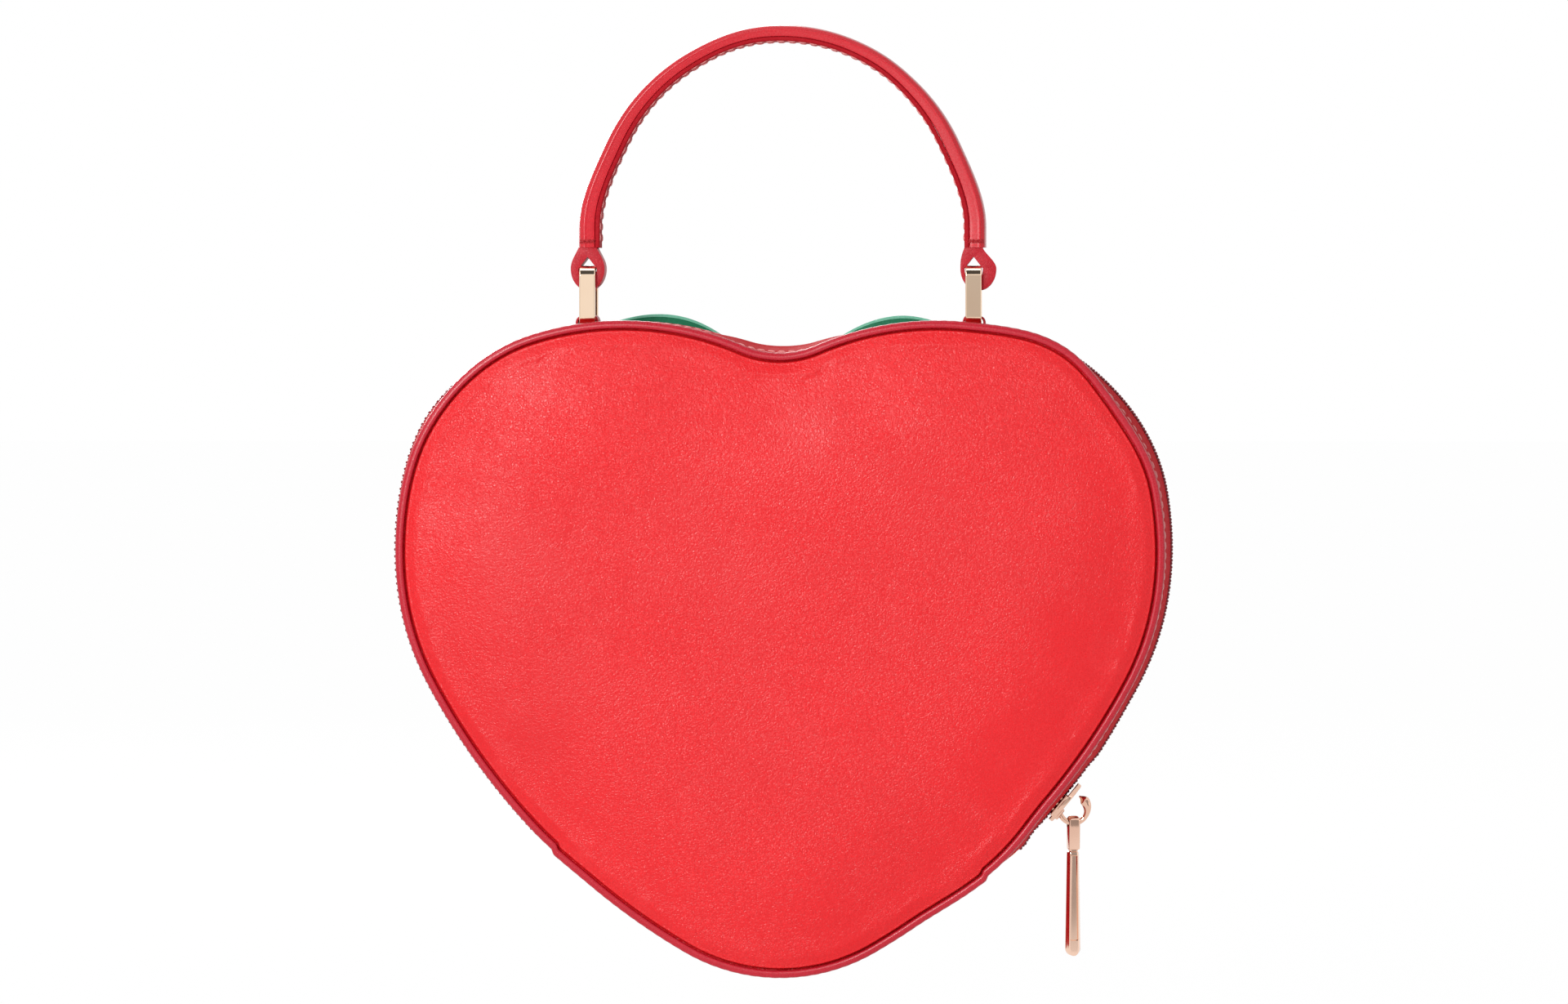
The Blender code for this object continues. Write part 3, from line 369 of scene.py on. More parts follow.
heart = {
    "width": 201.2 * mm,
    "height": 171.4 * mm,
    "drop": 244.6284 * mm,  # from the origin down to the tip
    "radii": (0.4876, 1.76, 0.7755, 0.4905, 0.791),  # shares of half the width, tip to notch
    "turns": (30.31, 31.36, 44.72, 56.15, 40.71),  # degrees
    "zipPlane": 16.0 * mm,
    "swell": 4.0 * mm,  # how far the side bands stand out at the zip
    "sliderSwell": 0.6 * mm,  # added where the slider lifts them
    "sliderTurn": 50.3,
    "overlap": 0.75 * mm,  # the rim round the tip lies over the rest
    "overlapLeft": 59.6 * mm,
    "overlapRight": 53.5 * mm,
    "swellStart": 12.0 * mm,  # there is none this near to a ring's foot
    "swellReach": 40.0 * mm,  # and from there it grows over this length
    "tipSwell": 0.35,  # share of it that is left at the tip
    "tipSwellReach": 75.0 * mm,
    "ringFoot": 50.6 * mm,
    "rimEdge": 25.5 * mm,
    "zipEdge": 5.0 * mm,
    "steps": 600,
}


def traceHeart():
    # right half, tip to notch: place, outward direction, heading and length so far
    place, heading, arcs = Vector((0.0, 0.0)), 0.0, []
    for radius, turn in zip(heart["radii"], heart["turns"]):
        centre = place + radius * Vector((-sin(heading), cos(heading)))
        arcs.append((centre, radius, heading, heading + radians(turn)))
        heading += radians(turn)
        place = centre + radius * Vector((sin(heading), -cos(heading)))
    notchRadius = -place.x / sin(heading)
    arcs.append((place + notchRadius * Vector((sin(heading), -cos(heading))), -notchRadius, heading, pi))
    raw = []
    for centre, radius, first, last in arcs:
        for step in range(161):
            turn = first + (last - first) * step / 160
            if not (raw and step == 0):
                raw.append((centre + radius * Vector((sin(turn), -cos(turn))), turn))
    scaleX = heart["width"] / 2 / max(spot.x for spot, _ in raw)
    scaleZ = heart["height"] / max(spot.y for spot, _ in raw)
    traced, length = [], 0.0
    for spot, turn in raw:
        flat = Vector((spot.x * scaleX, spot.y * scaleZ))
        along = Vector((scaleX * cos(turn), scaleZ * sin(turn)))
        if traced:
            length += (flat - traced[-1][0]).length
        traced.append((flat, Vector((along.y, -along.x)).normalized(), turn, length))
    return traced


outline = traceHeart()
outlineLengths = [row[3] for row in outline]
halfLength = outlineLengths[-1]
tipHeight = -heart["drop"]
notchHeight = outline[-1][0].y - heart["drop"]
ringSpot = min(
    (row for row in outline if row[1].y > 0.5), key=lambda row: abs(row[0].x - heart["ringFoot"])
)
bumps = (  # mm: place, reach and amount
    (-91.0, 153.0, 28.0, -0.4),
    (93.0, 150.0, 24.0, -1.7),
    (70.0, 167.0, 22.0, 1.0),
    (54.0, 28.0, 24.0, 1.7),
)
fullness = {
    "flank": 0.7 * mm,
    "flankLow": 24.0 * mm,
    "flankLowReach": 14.0 * mm,
    "flankHigh": 124.0 * mm,
    "flankHighReach": 40.0 * mm,
    "sliderReach": 16.0 * mm,
    "sliderEdge": 6.0 * mm,
}
notchDip = {"coil": 0.9 * mm, "from": 152.0 * mm, "over": 8.0 * mm, "half": 34.0 * mm, "edge": 10.0 * mm}


def heartAt(length):
    # place and outward direction at a length from the tip; negative lengths run up the left side
    if length > halfLength:
        length -= 2 * halfLength
    far = min(abs(length), halfLength)
    index = min(max(bisect_left(outlineLengths, far), 1), len(outline) - 1)
    before, after = outline[index - 1], outline[index]
    share = (far - before[3]) / (after[3] - before[3])
    place = before[0].lerp(after[0], share)
    out = before[1].lerp(after[1], share).normalized()
    if length < 0.0:
        return Vector((-place.x, place.y)), Vector((-out.x, out.y))
    return place, out


def lengthAtTurn(degreesTurned):
    return next(row[3] for row in outline if row[2] >= radians(degreesTurned))


sliderSpot = heartAt(lengthAtTurn(heart["sliderTurn"]))[0]


def fromRing(place):
    return (Vector((abs(place.x), place.y)) - ringSpot[0]).length


def swellAt(place):
    away = (fromRing(place) - heart["swellStart"]) / heart["swellReach"]
    fromTip = min(place.length / heart["tipSwellReach"], 1.0)
    full = smoothStep(away) * (heart["tipSwell"] + (1.0 - heart["tipSwell"]) * fromTip * fromTip)
    lifted = smoothStep(1.0 - ((place - sliderSpot).length - 8 * mm) / (24 * mm))
    return heart["swell"] * full + heart["sliderSwell"] * lifted


def overlapAt(place):
    # the lower rim steps outwards at its two ends
    if place.y > heart["height"] / 2:
        return 0.0
    end = heart["overlapLeft"] if place.x < 0.0 else heart["overlapRight"]
    return heart["overlap"] * smoothStep((end - abs(place.x)) / (1.1 * mm))


def fullnessAt(place, share):
    # sewn leather is a little leaner at the shoulders and fuller on the flanks, save under the slider
    flank = smoothStep((place.y - fullness["flankLow"]) / fullness["flankLowReach"])
    flank *= smoothStep((fullness["flankHigh"] - place.y) / fullness["flankHighReach"])
    full = fullness["flank"] * flank
    for x, y, reach, amount in bumps:
        if (place.x > 0.0) == (x > 0.0):
            away = (place - Vector((x * mm, y * mm))).length
            full += amount * mm * smoothStep(1.0 - away / (reach * mm))
    if place.x > 0.0:
        away = (place - sliderSpot).length
        near = smoothStep((fullness["sliderReach"] - away) / fullness["sliderEdge"])
        full *= 1.0 - share * (0.2 + 0.8 * near)
    return full


def coilSink(length):
    # the coil lies deeper in the notch, where the bands close over it
    place = heartAt(length)[0]
    deep = smoothStep((place.y - notchDip["from"]) / notchDip["over"])
    return notchDip["coil"] * deep * smoothStep((notchDip["half"] - abs(place.x)) / notchDip["edge"])


def onHeart(length, inset, depth, share=0.0, follow=0.0):
    place, out = heartAt(length)
    shift = inset - fullnessAt(place, share)
    if share:
        shift -= share * swellAt(place)
    if follow:
        shift -= follow * overlapAt(place)
    flat = place - shift * out
    return Vector((flat.x, depth, flat.y - heart["drop"]))


def depthOf(side, reach):
    return heart["zipPlane"] + side * reach


def swellShare(reach):
    return min(max((heart["rimEdge"] - abs(reach)) / (heart["rimEdge"] - heart["zipEdge"]), 0.0), 1.0)


def heartLoop(inset, depth, steps=None, follow=0.0):
    steps = steps or heart["steps"]
    return [onHeart(2 * halfLength * step / steps, inset, depth, 0.0, follow) for step in range(steps)]


def heartFrame(length, inset, depth, share=0.0, follow=0.0):
    # axes along the outline, across it and out of it, at a place on it
    step = 0.3 * mm
    ahead = onHeart(length + step, inset, depth, share) - onHeart(length - step, inset, depth, share)
    along = ahead.normalized()
    flatOut = heartAt(length)[1]
    out = Vector((flatOut.x, 0.0, flatOut.y))
    across = out.cross(along).normalized()
    return frameOf(onHeart(length, inset, depth, share, follow), along, across, out)


def frameOf(place, along, across, out):
    matrix = Matrix((along, across, out)).transposed().to_4x4()
    matrix.translation = place
    return matrix


def roundKey(place):
    return tuple(round(part * 1e7) for part in place)


def layLoop(name, places, fill="NOTHING"):
    # a circle whose vertices are laid on the places
    freshStart()
    bpy.ops.mesh.primitive_circle_add(vertices=len(places), radius=1.0, fill_type=fill)
    obj = bpy.context.object
    obj.name = name
    for vertex, place in zip(obj.data.vertices, places):
        vertex.co = place
    return obj


def layRows(name, rows, ends="fill"):
    # a loop laid on the first row and extruded row by row; ends are filled, joined or open
    obj = layLoop(name, rows[0])
    editAll(obj, "EDGE")
    for before, row in zip(rows, rows[1:]):
        bpy.ops.mesh.extrude_edges_move()
        mesh = bmesh.from_edit_mesh(obj.data)
        found = {roundKey(Vector(place)): index for index, place in enumerate(before)}
        for vertex in mesh.verts:
            if vertex.select:
                index = found.get(roundKey(vertex.co))
                if index is None:
                    index = min(range(len(row)), key=lambda i: (Vector(before[i]) - vertex.co).length)
                vertex.co = row[index]
        bmesh.update_edit_mesh(obj.data)
    if ends == "fill":
        bpy.ops.mesh.edge_face_add()
        pick(obj, "edges", lambda edge: edge.is_boundary)
        bpy.ops.mesh.edge_face_add()
    if ends == "join":
        pick(obj, "edges", lambda edge: edge.is_boundary)
        bpy.ops.mesh.bridge_edge_loops()
    done()
    if ends != "open":
        faceOut(obj)
    return obj


def layGrid(name, columns, rows, place, size=(1.0, 1.0)):
    # a grid whose vertices are laid by column and row, and whose map is as large as the sheet
    freshStart()
    bpy.ops.mesh.primitive_grid_add(x_subdivisions=columns, y_subdivisions=rows, size=2.0)
    obj = bpy.context.object
    obj.name = name
    for vertex in obj.data.vertices:
        column = round((vertex.co.x + 1.0) / 2.0 * columns)
        row = round((vertex.co.y + 1.0) / 2.0 * rows)
        vertex.co = place(column, row)
    for spot in obj.data.uv_layers.active.data:
        spot.uv = (spot.uv[0] * size[0], spot.uv[1] * size[1])
    return obj


def block(size, place, width, segments=2, angle=40):
    # a cube drawn out to its size, put in its place and softened
    freshStart()
    bpy.ops.mesh.primitive_cube_add(size=1.0)
    obj = bpy.context.object
    obj.data.transform(Matrix.Diagonal((*size, 1.0)))
    obj.data.transform(Matrix.Translation(place))
    return softenEdges(obj, width, segments, angle)


def copyAlong(pattern, name, frames):
    # one mesh that holds a copy of the modelled pattern at every frame
    places = [vertex.co.copy() for vertex in pattern.data.vertices]
    faces = [tuple(face.vertices) for face in pattern.data.polygons]
    points, sides = [], []
    for matrix in frames:
        start = len(points)
        points += [matrix @ place for place in places]
        sides += [tuple(start + index for index in face) for face in faces]
    mesh = bpy.data.meshes.new(name)
    mesh.from_pydata(points, [], sides)
    obj = bpy.data.objects.new(name, mesh)
    bpy.context.scene.collection.objects.link(obj)
    bpy.data.objects.remove(pattern, do_unlink=True)
    return obj


def stitchPattern(length, thick, rise=1.0):
    # one stitch: a plump strand that dips into the leather at both ends
    freshStart()
    bpy.ops.mesh.primitive_uv_sphere_add(segments=6, ring_count=6, radius=1.0)
    obj = bpy.context.object
    for vertex in obj.data.vertices:
        lengthways = vertex.co.z
        swell = (1.0 - abs(lengthways) ** 3) ** 0.5 if abs(lengthways) < 1.0 else 0.0
        spread = sqrt(max(1.0 - lengthways * lengthways, 1e-6))
        vertex.co = (
            lengthways * length / 2,
            vertex.co.x / spread * thick / 2 * swell,
            vertex.co.y / spread * thick / 2 * swell * rise - thick * 0.35 * lengthways ** 4,
        )
    return obj


def sewRow(name, body, look, frames, length=2.1 * mm, thick=0.55 * mm, slant=0.0):
    turned = [matrix @ Matrix.Rotation(radians(slant), 4, "Z") for matrix in frames]
    obj = copyAlong(stitchPattern(length, thick), name, turned)
    return finishPiece(obj, name, body, look, (), 80)


# Padded panels

backPad = {
    "edge": 3.25 * mm,
    "roll": 12.0 * mm,
    "reach": 27.94 * mm,
    "rise": 2.3 * mm,
    "roundness": 2.3,
    "shares": (0.95, 0.88, 0.79, 0.68, 0.55, 0.42, 0.28, 0.14, 0.05),
    "voxel": 4.0 * mm,
    "pressure": 4.0,
    "cap": 1.1 * mm,
    "fill": 0.75,
    "side": -1,
}
frontPad = {
    "edge": 2.7 * mm,
    "reach": 26.75 * mm,
    "height": 13.6 * mm,
    "roundness": 2.4,
    "sharpness": 1.9,
    "shares": (
        0.992, 0.986, 0.978, 0.965, 0.945, 0.92, 0.89, 0.85, 0.80, 0.74, 0.67, 0.59,
        0.5, 0.41, 0.32, 0.23, 0.14, 0.05,
    ),
    "voxel": 4.0 * mm,
    "pressure": 4.0,
    "cap": 1.0 * mm,
    "fill": 0.85,
    "side": 1,
}
flange = ((3.6, 25.5), (0.5, 25.5), (0.42, 25.75), (0.5, 25.98), (2.2, 25.98))  # mm: inset and reach
lip = ((2.42, 26.1), (2.54, 26.6), (2.58, 27.3), (2.62, 27.65), (2.76, 27.88), (2.98, 27.95))
domeMiddle = Vector((0.0, (tipHeight + notchHeight) / 2))


def domeRise(share):
    share = min(max(share, 0.0), 1.0)
    return frontPad["height"] * (1.0 - share ** frontPad["roundness"]) ** (1.0 / frontPad["sharpness"])


def shrunkLoop(loop, share, depth):
    return [
        Vector((
            domeMiddle.x + (place.x - domeMiddle.x) * share,
            depth,
            domeMiddle.y + (place.z - domeMiddle.y) * share,
        ))
        for place in loop
    ]


def padRows(pad):
    side = pad["side"]
    rows = [
        heartLoop(inset * mm, depthOf(side, reach * mm), None, 1.0) for inset, reach in flange + lip
    ]
    if side < 0:
        for step in range(18):
            share = (step / 17) ** 1.4
            inset = pad["edge"] + pad["roll"] * share
            reach = pad["reach"] + pad["rise"] * (1.0 - (1.0 - share) ** pad["roundness"])
            rows.append(heartLoop(inset, depthOf(side, reach), None, (1.0 - share) ** 2))
        edge, top = rows[-1], depthOf(side, pad["reach"] + pad["rise"])
        rows += [shrunkLoop(edge, share, top) for share in pad["shares"]]
        return rows
    for share in pad["shares"]:
        edge = heartLoop(pad["edge"], 0.0, None, max(0.0, 1.0 - (1.0 - share) / 0.06))
        reach = max(pad["reach"] + domeRise(share), (lip[-1][1] + 0.06) * mm)
        rows.append(shrunkLoop(edge, share, depthOf(side, reach)))
    return rows


def puffUp(obj, pad):
    # a coarse copy is filled by cloth pressure, and the pad takes its depth from that copy
    side = pad["side"]
    takeUp(obj)
    bpy.ops.object.duplicate()
    trial = bpy.context.object
    modify(trial, "REMESH", mode="VOXEL", voxel_size=pad["voxel"])
    base = depthOf(side, 28.2 * mm)
    held = trial.vertex_groups.new(name="held")
    held.add([v.index for v in trial.data.vertices if (v.co.y - base) * side < 0.0], 1.0, "ADD")
    cloth = trial.modifiers.new("cloth", "CLOTH")
    cloth.settings.vertex_group_mass = "held"
    cloth.settings.use_pressure = True
    cloth.settings.uniform_pressure_force = pad["pressure"]
    cloth.settings.effector_weights.gravity = 0.0
    cloth.point_cache.frame_start = 1
    cloth.point_cache.frame_end = 20
    for frameNumber in range(1, 21):
        bpy.context.scene.frame_set(frameNumber)
    takeUp(trial)
    bpy.ops.object.modifier_apply(modifier=cloth.name)
    bpy.context.scene.frame_set(1)
    modify(trial, "SMOOTH", factor=0.6, iterations=8)
    smoothen(trial, 1)
    tree = BVHTree.FromPolygons(
        [vertex.co.copy() for vertex in trial.data.vertices],
        [tuple(face.vertices) for face in trial.data.polygons],
    )
    bpy.data.objects.remove(trial, do_unlink=True)
    for vertex in obj.data.vertices:
        reach = (vertex.co.y - heart["zipPlane"]) * side
        share = smoothStep((reach - 28.5 * mm) / (1.6 * mm))
        if share > 0.0:
            start = Vector((vertex.co.x, side * 0.2, vertex.co.z))
            hit = tree.ray_cast(start, Vector((0.0, -side, 0.0)))[0]
            if hit:
                swell = min(max((hit.y - vertex.co.y) * side, -pad["cap"]), pad["cap"])
                vertex.co.y += side * swell * share


def makePanel(pad, name, body, nodes):
    obj = layRows(name, padRows(pad))
    puffUp(obj, pad)
    finishPiece(obj, name, body, redLeather, nodes, 50)
    print(name, "padded")
    return obj


makePanel(backPad, "back_panel_padded", "bag_back", ("back_panel", "back_foam", "back_board"))
frontPanel = makePanel(
    frontPad, "front_panel_padded", "bag_front", ("front_panel", "front_foam", "front_board")
)


# Rims: a flat rolled edge whose outer side is drawn in by its stitches

rim = {
    "middle": 1.02 * mm,
    "half": 1.02 * mm,
    "reach": 27.15 * mm,
    "halfHeight": 1.1 * mm,
    "squareness": 2.7,
    "lean": 0.2 * mm,  # the inner side stands higher
    "corners": 18,
    "stations": 1240,
    "dimple": 0.06 * mm,
    "pitch": 2.75 * mm,
    "stitchInset": 0.3 * mm,
    "stitchReach": 26.2 * mm,
}
rimStitches = round(2 * halfLength / rim["pitch"])


def makeRim(side, name, body, nodes):
    rows = []
    for corner in range(rim["corners"]):
        angle = tau * corner / rim["corners"]
        power = 2.0 / rim["squareness"]
        inset = rim["middle"] + rim["half"] * signedPower(cos(angle), power)
        reach = rim["reach"] + rim["halfHeight"] * signedPower(sin(angle), power)
        if sin(angle) > 0.0:
            reach += rim["lean"] * cos(angle)
        outer = smoothStep((0.9 * mm - inset) / (0.9 * mm))
        row = []
        for station in range(rim["stations"]):
            wave = (0.5 + 0.5 * cos(tau * rimStitches * station / rim["stations"])) ** 2
            pull = inset + rim["dimple"] * wave * outer
            length = 2 * halfLength * station / rim["stations"]
            row.append(onHeart(length, pull, depthOf(side, reach), 0.0, 1.0))
        rows.append(row)
    obj = layRows(name, rows, "join")
    finishPiece(obj, name, body, rimLeather, nodes, 70)
    lengths = [2 * halfLength * (count + 0.5) / rimStitches for count in range(rimStitches)]
    depth = depthOf(side, rim["stitchReach"])
    frames = [heartFrame(length, rim["stitchInset"], depth, 0.0, 1.0) for length in lengths]
    sewRow(name + "_stitches", body, paleThread, frames, 2.0 * mm, 0.42 * mm)


makeRim(-1, "back_rim", "bag_back", ("back_piping",))
makeRim(1, "front_rim", "bag_front", ("front_piping",))
print("rims rolled and sewn")


# Side bands and the bottom band

band = {
    "inset": 2.2 * mm,
    "lip": 0.75 * mm,  # the band's inset where it meets the rim
    "lipShare": 0.35,
    "leather": 1.3 * mm,
    "endTurn": 39.5,
    "bottomTurn": 42.0,
    "columns": 480,
    "rows": 14,
    "mapHeight": 20.5 * mm,
    "stitchReach": 13.2 * mm,
    "pitch": 2.7 * mm,
    "margin": 3.0 * mm,  # without stitches at both ends
    "ringRoom": 0.6 * mm,
    "ringRoomReach": 10.0 * mm,
    "ringRoomEdge": 5.0 * mm,
    "sink": 0.04 * mm,  # the stitches lie this deep
}
bottomBand = {
    "columns": 110,
    "rows": 30,
    "inset": 1.25 * mm,
    "lip": 0.25 * mm,
    "endInset": 0.7 * mm,
    "seamFromEnd": 2.2 * mm,
    "seamHalf": 23.0 * mm,
    "stitches": 16,
    "mapHeight": 51.0 * mm,
}
insideBag = Vector((0.0, 0.016, -0.155))


def bandInset(share):
    return band["lip"] + (band["inset"] - band["lip"]) * smoothStep(share / band["lipShare"])


def bandEdge(reach):
    # the band's zip edge is turned in, round and plump
    fold = max(0.0, 1.0 - (abs(reach) - heart["zipEdge"]) / (1.6 * mm))
    return 0.35 * mm * fold ** 2 - 0.22 * mm * fold * (1.0 - fold) * 4.0


def ringRoom(place):
    # the band lies a little lower under the rings, which tilt there
    near = smoothStep((band["ringRoomReach"] - fromRing(place)) / band["ringRoomEdge"])
    return band["ringRoom"] * near


def makeBand(side, name, body, nodes):
    first = lengthAtTurn(band["endTurn"])
    run = 2 * (halfLength - first)
    shares = [1 - (1 - row / band["rows"]) ** 1.5 for row in range(band["rows"] + 1)]
    reaches = [heart["rimEdge"] + (heart["zipEdge"] - heart["rimEdge"]) * share for share in shares]

    def place(column, row):
        reach = reaches[row]
        share = swellShare(reach)
        spot = first + run * column / band["columns"]
        inset = bandInset(share) + bandEdge(reach) + ringRoom(heartAt(spot)[0])
        return onHeart(spot, inset, depthOf(side, reach), share)

    obj = layGrid(name, band["columns"], band["rows"], place, (run, band["mapHeight"]))
    faceAwayFrom(obj, insideBag)
    modify(obj, "SOLIDIFY", thickness=band["leather"], offset=-1.0)
    softenEdges(obj, 0.3 * mm)
    finishPiece(obj, name, body, bandLeather, nodes)
    sewn = run - 2 * band["margin"]
    count = round(sewn / band["pitch"])
    spots = [first + band["margin"] + sewn * (step + 0.5) / count for step in range(count)]
    inset, depth = band["inset"] - band["sink"], depthOf(side, band["stitchReach"])
    frames = [heartFrame(spot, inset, depth, swellShare(band["stitchReach"])) for spot in spots]
    sewRow(name + "_stitches", body, paleThread, frames, 2.2 * mm, 0.56 * mm)


makeBand(-1, "back_side_band", "bag_back", ("back_gusset",))
makeBand(1, "front_side_band", "bag_front", ("front_gusset",))


def makeBottomBand():
    last = lengthAtTurn(band["bottomTurn"])
    columns, rows = bottomBand["columns"], bottomBand["rows"]

    def place(column, row):
        reach = heart["rimEdge"] * (1.0 - 2.0 * row / rows)
        share = swellShare(reach)
        along = 2.0 * column / columns - 1.0
        inset = bottomBand["inset"] + bottomBand["lip"] * (1.0 - smoothStep(share / 0.2))
        inset += bottomBand["endInset"] * smoothStep((abs(along) - 0.8) / 0.2) * share
        return onHeart(last * along, inset, depthOf(-1, reach), share)

    obj = layGrid("bottom_band", columns, rows, place, (2 * last, bottomBand["mapHeight"]))
    faceAwayFrom(obj, insideBag)
    modify(obj, "SOLIDIFY", thickness=band["leather"], offset=-1.0)
    softenEdges(obj, 0.35 * mm)
    finishPiece(obj, "bottom_band", None, bandLeather, ("bottom_gusset",))
    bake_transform(obj)
    frames = []
    for end in (-1, 1):
        for step in range(bottomBand["stitches"]):
            reach = bottomBand["seamHalf"] * (2.0 * step / (bottomBand["stitches"] - 1) - 1.0)
            share = swellShare(reach)
            spot = end * (last - bottomBand["seamFromEnd"])
            inset = bottomBand["inset"] + 0.5 * mm * share - band["sink"]
            matrix = heartFrame(spot, inset, depthOf(-1, -reach), share)
            frames.append(matrix @ Matrix.Rotation(pi / 2, 4, "Z"))
    obj = copyAlong(stitchPattern(2.2 * mm, 0.5 * mm), "bottom_band_stitches", frames)
    finishPiece(obj, "bottom_band_stitches", None, redThread, (), 80)
    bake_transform(obj)


makeBottomBand()
print("side bands and bottom band laid")


# Zip: tape, coil and end stops

zipParts = {
    "tapeInset": 3.1 * mm,
    "tapeFrom": 0.65 * mm,
    "tapeTo": 6.2 * mm,
    "tapeThick": 0.6 * mm,
    "coilTurn": 44.5,
    "pitch": 1.75 * mm,
    "coilInset": 2.08 * mm,  # the coil's middle
    "coilFrom": 0.5 * mm,
    "coilTo": 2.7 * mm,
    "coilHeight": 1.2 * mm,
    "seamReach": 3.3 * mm,
    "columns": 420,
    "rows": 6,
    "stop": 2.4 * mm,
    "stopWidth": 2.05 * mm,
    "stopHeight": 1.0 * mm,
    "stopInset": 2.62 * mm,
    "stopReach": 1.68 * mm,
    "stopGap": 0.3 * mm,  # to the coil's end
}


def coilPattern(side):
    # one turn of the coil: a rounded loop with a thicker head at the middle line
    freshStart()
    bpy.ops.mesh.primitive_uv_sphere_add(segments=8, ring_count=5, radius=1.0)
    obj = bpy.context.object
    wide = zipParts["coilTo"] - zipParts["coilFrom"]
    for vertex in obj.data.vertices:
        across = vertex.co.z
        head = 1.0 + 0.35 * smoothStep((-across - 0.1) / 0.6)
        spread = sqrt(max(1.0 - across * across, 1e-6))
        full = (1.0 - abs(across) ** 4) ** 0.5 if abs(across) < 1.0 else 0.0
        vertex.co = (
            vertex.co.x / spread * 0.52 * mm * full * head,
            side * (zipParts["coilFrom"] + wide * (across + 1.0) / 2),
            vertex.co.y / spread * zipParts["coilHeight"] / 2 * full,
        )
    if side < 0:
        turnOver(obj)
    return obj


def makeZipHalf(side, word, body):
    first = lengthAtTurn(band["endTurn"])
    run = 2 * (halfLength - first)
    wide = zipParts["tapeTo"] - zipParts["tapeFrom"]
    columns, rows = zipParts["columns"], zipParts["rows"]

    def place(column, row):
        reach = zipParts["tapeFrom"] + wide * row / rows
        return onHeart(first + run * column / columns, zipParts["tapeInset"], depthOf(side, reach), 1.0)

    tape = layGrid(word + "_tape", columns, rows, place, (run, wide))
    faceAwayFrom(tape, insideBag)
    modify(tape, "SOLIDIFY", thickness=zipParts["tapeThick"], offset=-1.0)
    finishPiece(tape, word + "_tape", body, tapeCloth, (word + "_zip_tape",))
    start = lengthAtTurn(zipParts["coilTurn"]) + 0.6 * mm
    chain = 2 * (halfLength - start)
    count = round(chain / zipParts["pitch"])
    phase = 0.25 if side < 0 else 0.75
    spots = [start + chain * (step + phase) / count for step in range(count)]
    frames = [
        heartFrame(spot, zipParts["coilInset"] + coilSink(spot), heart["zipPlane"], 1.0) for spot in spots
    ]
    coil = copyAlong(coilPattern(1), word + "_coil", [
        frameOf(m.translation, m.col[0].xyz, Vector((0, side, 0)), m.col[2].xyz) for m in frames
    ])
    faceOut(coil)
    finishPiece(coil, word + "_coil", body, coilPlastic, (word + "_zip_teeth",), 80)
    # the seam that holds the coil to the tape
    pairs, inset = count // 2, zipParts["tapeInset"] - 0.05 * mm
    spots = [start + chain * (step + 0.5) / pairs for step in range(pairs)]
    seam = [heartFrame(spot, inset, depthOf(side, zipParts["seamReach"]), 1.0) for spot in spots]
    sewRow(word + "_coil_seam", body, redThread, seam, 1.8 * mm, 0.4 * mm)


makeZipHalf(-1, "back", "bag_back")
makeZipHalf(1, "front", "bag_front")


def makeStops():
    # crimped metal blocks past the ends of the coil
    bend = lengthAtTurn(zipParts["coilTurn"])
    for side, word, body in ((-1, "back", "bag_back"), (1, "front", "bag_front")):
        for end, hand in ((1, "right"), (-1, "left")):
            length = end * (bend - zipParts["stopGap"] - zipParts["stop"] / 2)
            freshStart()
            bpy.ops.mesh.primitive_cube_add(size=1.0)
            obj = bpy.context.object
            obj.scale = (zipParts["stop"], zipParts["stopWidth"], zipParts["stopHeight"])
            bpy.ops.object.transform_apply(location=False, rotation=False, scale=True)
            edit(obj, "FACE")
            pick(obj, "faces", lambda face: face.normal.z > 0.9)
            bpy.ops.mesh.inset(thickness=0.3 * mm)
            bpy.ops.transform.translate(value=(0, 0, 0.18 * mm))
            done()
            softenEdges(obj, 0.22 * mm, 3, 30)
            depth = depthOf(side, zipParts["stopReach"])
            obj.data.transform(heartFrame(length, zipParts["stopInset"], depth, 1.0))
            name = f"{word}_stop_{hand}"
            finishPiece(obj, name, body, paleGold, (f"{word}_zip_stop_{hand}",), 50)


makeStops()
print("zip laid")


# Lining trays and slip pocket

lining = {
    "inset": 4.0 * mm,
    "cloth": 0.8 * mm,
    "mouth": 5.8 * mm,
    "floor": 24.3 * mm,
    "corner": 3.0 * mm,
    "steps": 240,
}


def makeLining(side, name, body, nodes):
    rows = []
    for step in range(8):
        reach = lining["mouth"] + (lining["floor"] - lining["corner"] - lining["mouth"]) * step / 7
        slack = 0.35 * mm * sin(pi * step / 7)
        rows.append(heartLoop(lining["inset"] + slack, depthOf(side, reach), lining["steps"]))
    for step in range(1, 6):
        angle = pi / 2 * step / 5
        inset = lining["inset"] + lining["corner"] * (1.0 - cos(angle))
        reach = lining["floor"] - lining["corner"] * (1.0 - sin(angle))
        rows.append(heartLoop(inset, depthOf(side, reach), lining["steps"]))
    field = rows[-1]
    for share in (0.93, 0.84, 0.72, 0.58, 0.42, 0.25, 0.08):
        rows.append(shrunkLoop(field, share, depthOf(side, lining["floor"] - 0.5 * mm * (1.0 - share))))
    obj = layRows(name, rows, "open")
    edit(obj, "EDGE")
    middle = depthOf(side, lining["floor"] - 1.0 * mm)
    pick(obj, "edges", lambda edge: edge.is_boundary and (edge.verts[0].co.y - middle) * side > 0.0)
    bpy.ops.mesh.edge_face_add()
    done()
    faceAwayFrom(obj, Vector((0.0, depthOf(side, lining["mouth"]), domeMiddle.y)))
    modify(obj, "SOLIDIFY", thickness=lining["cloth"], offset=-1.0)
    finishPiece(obj, name, body, liningCloth, nodes)


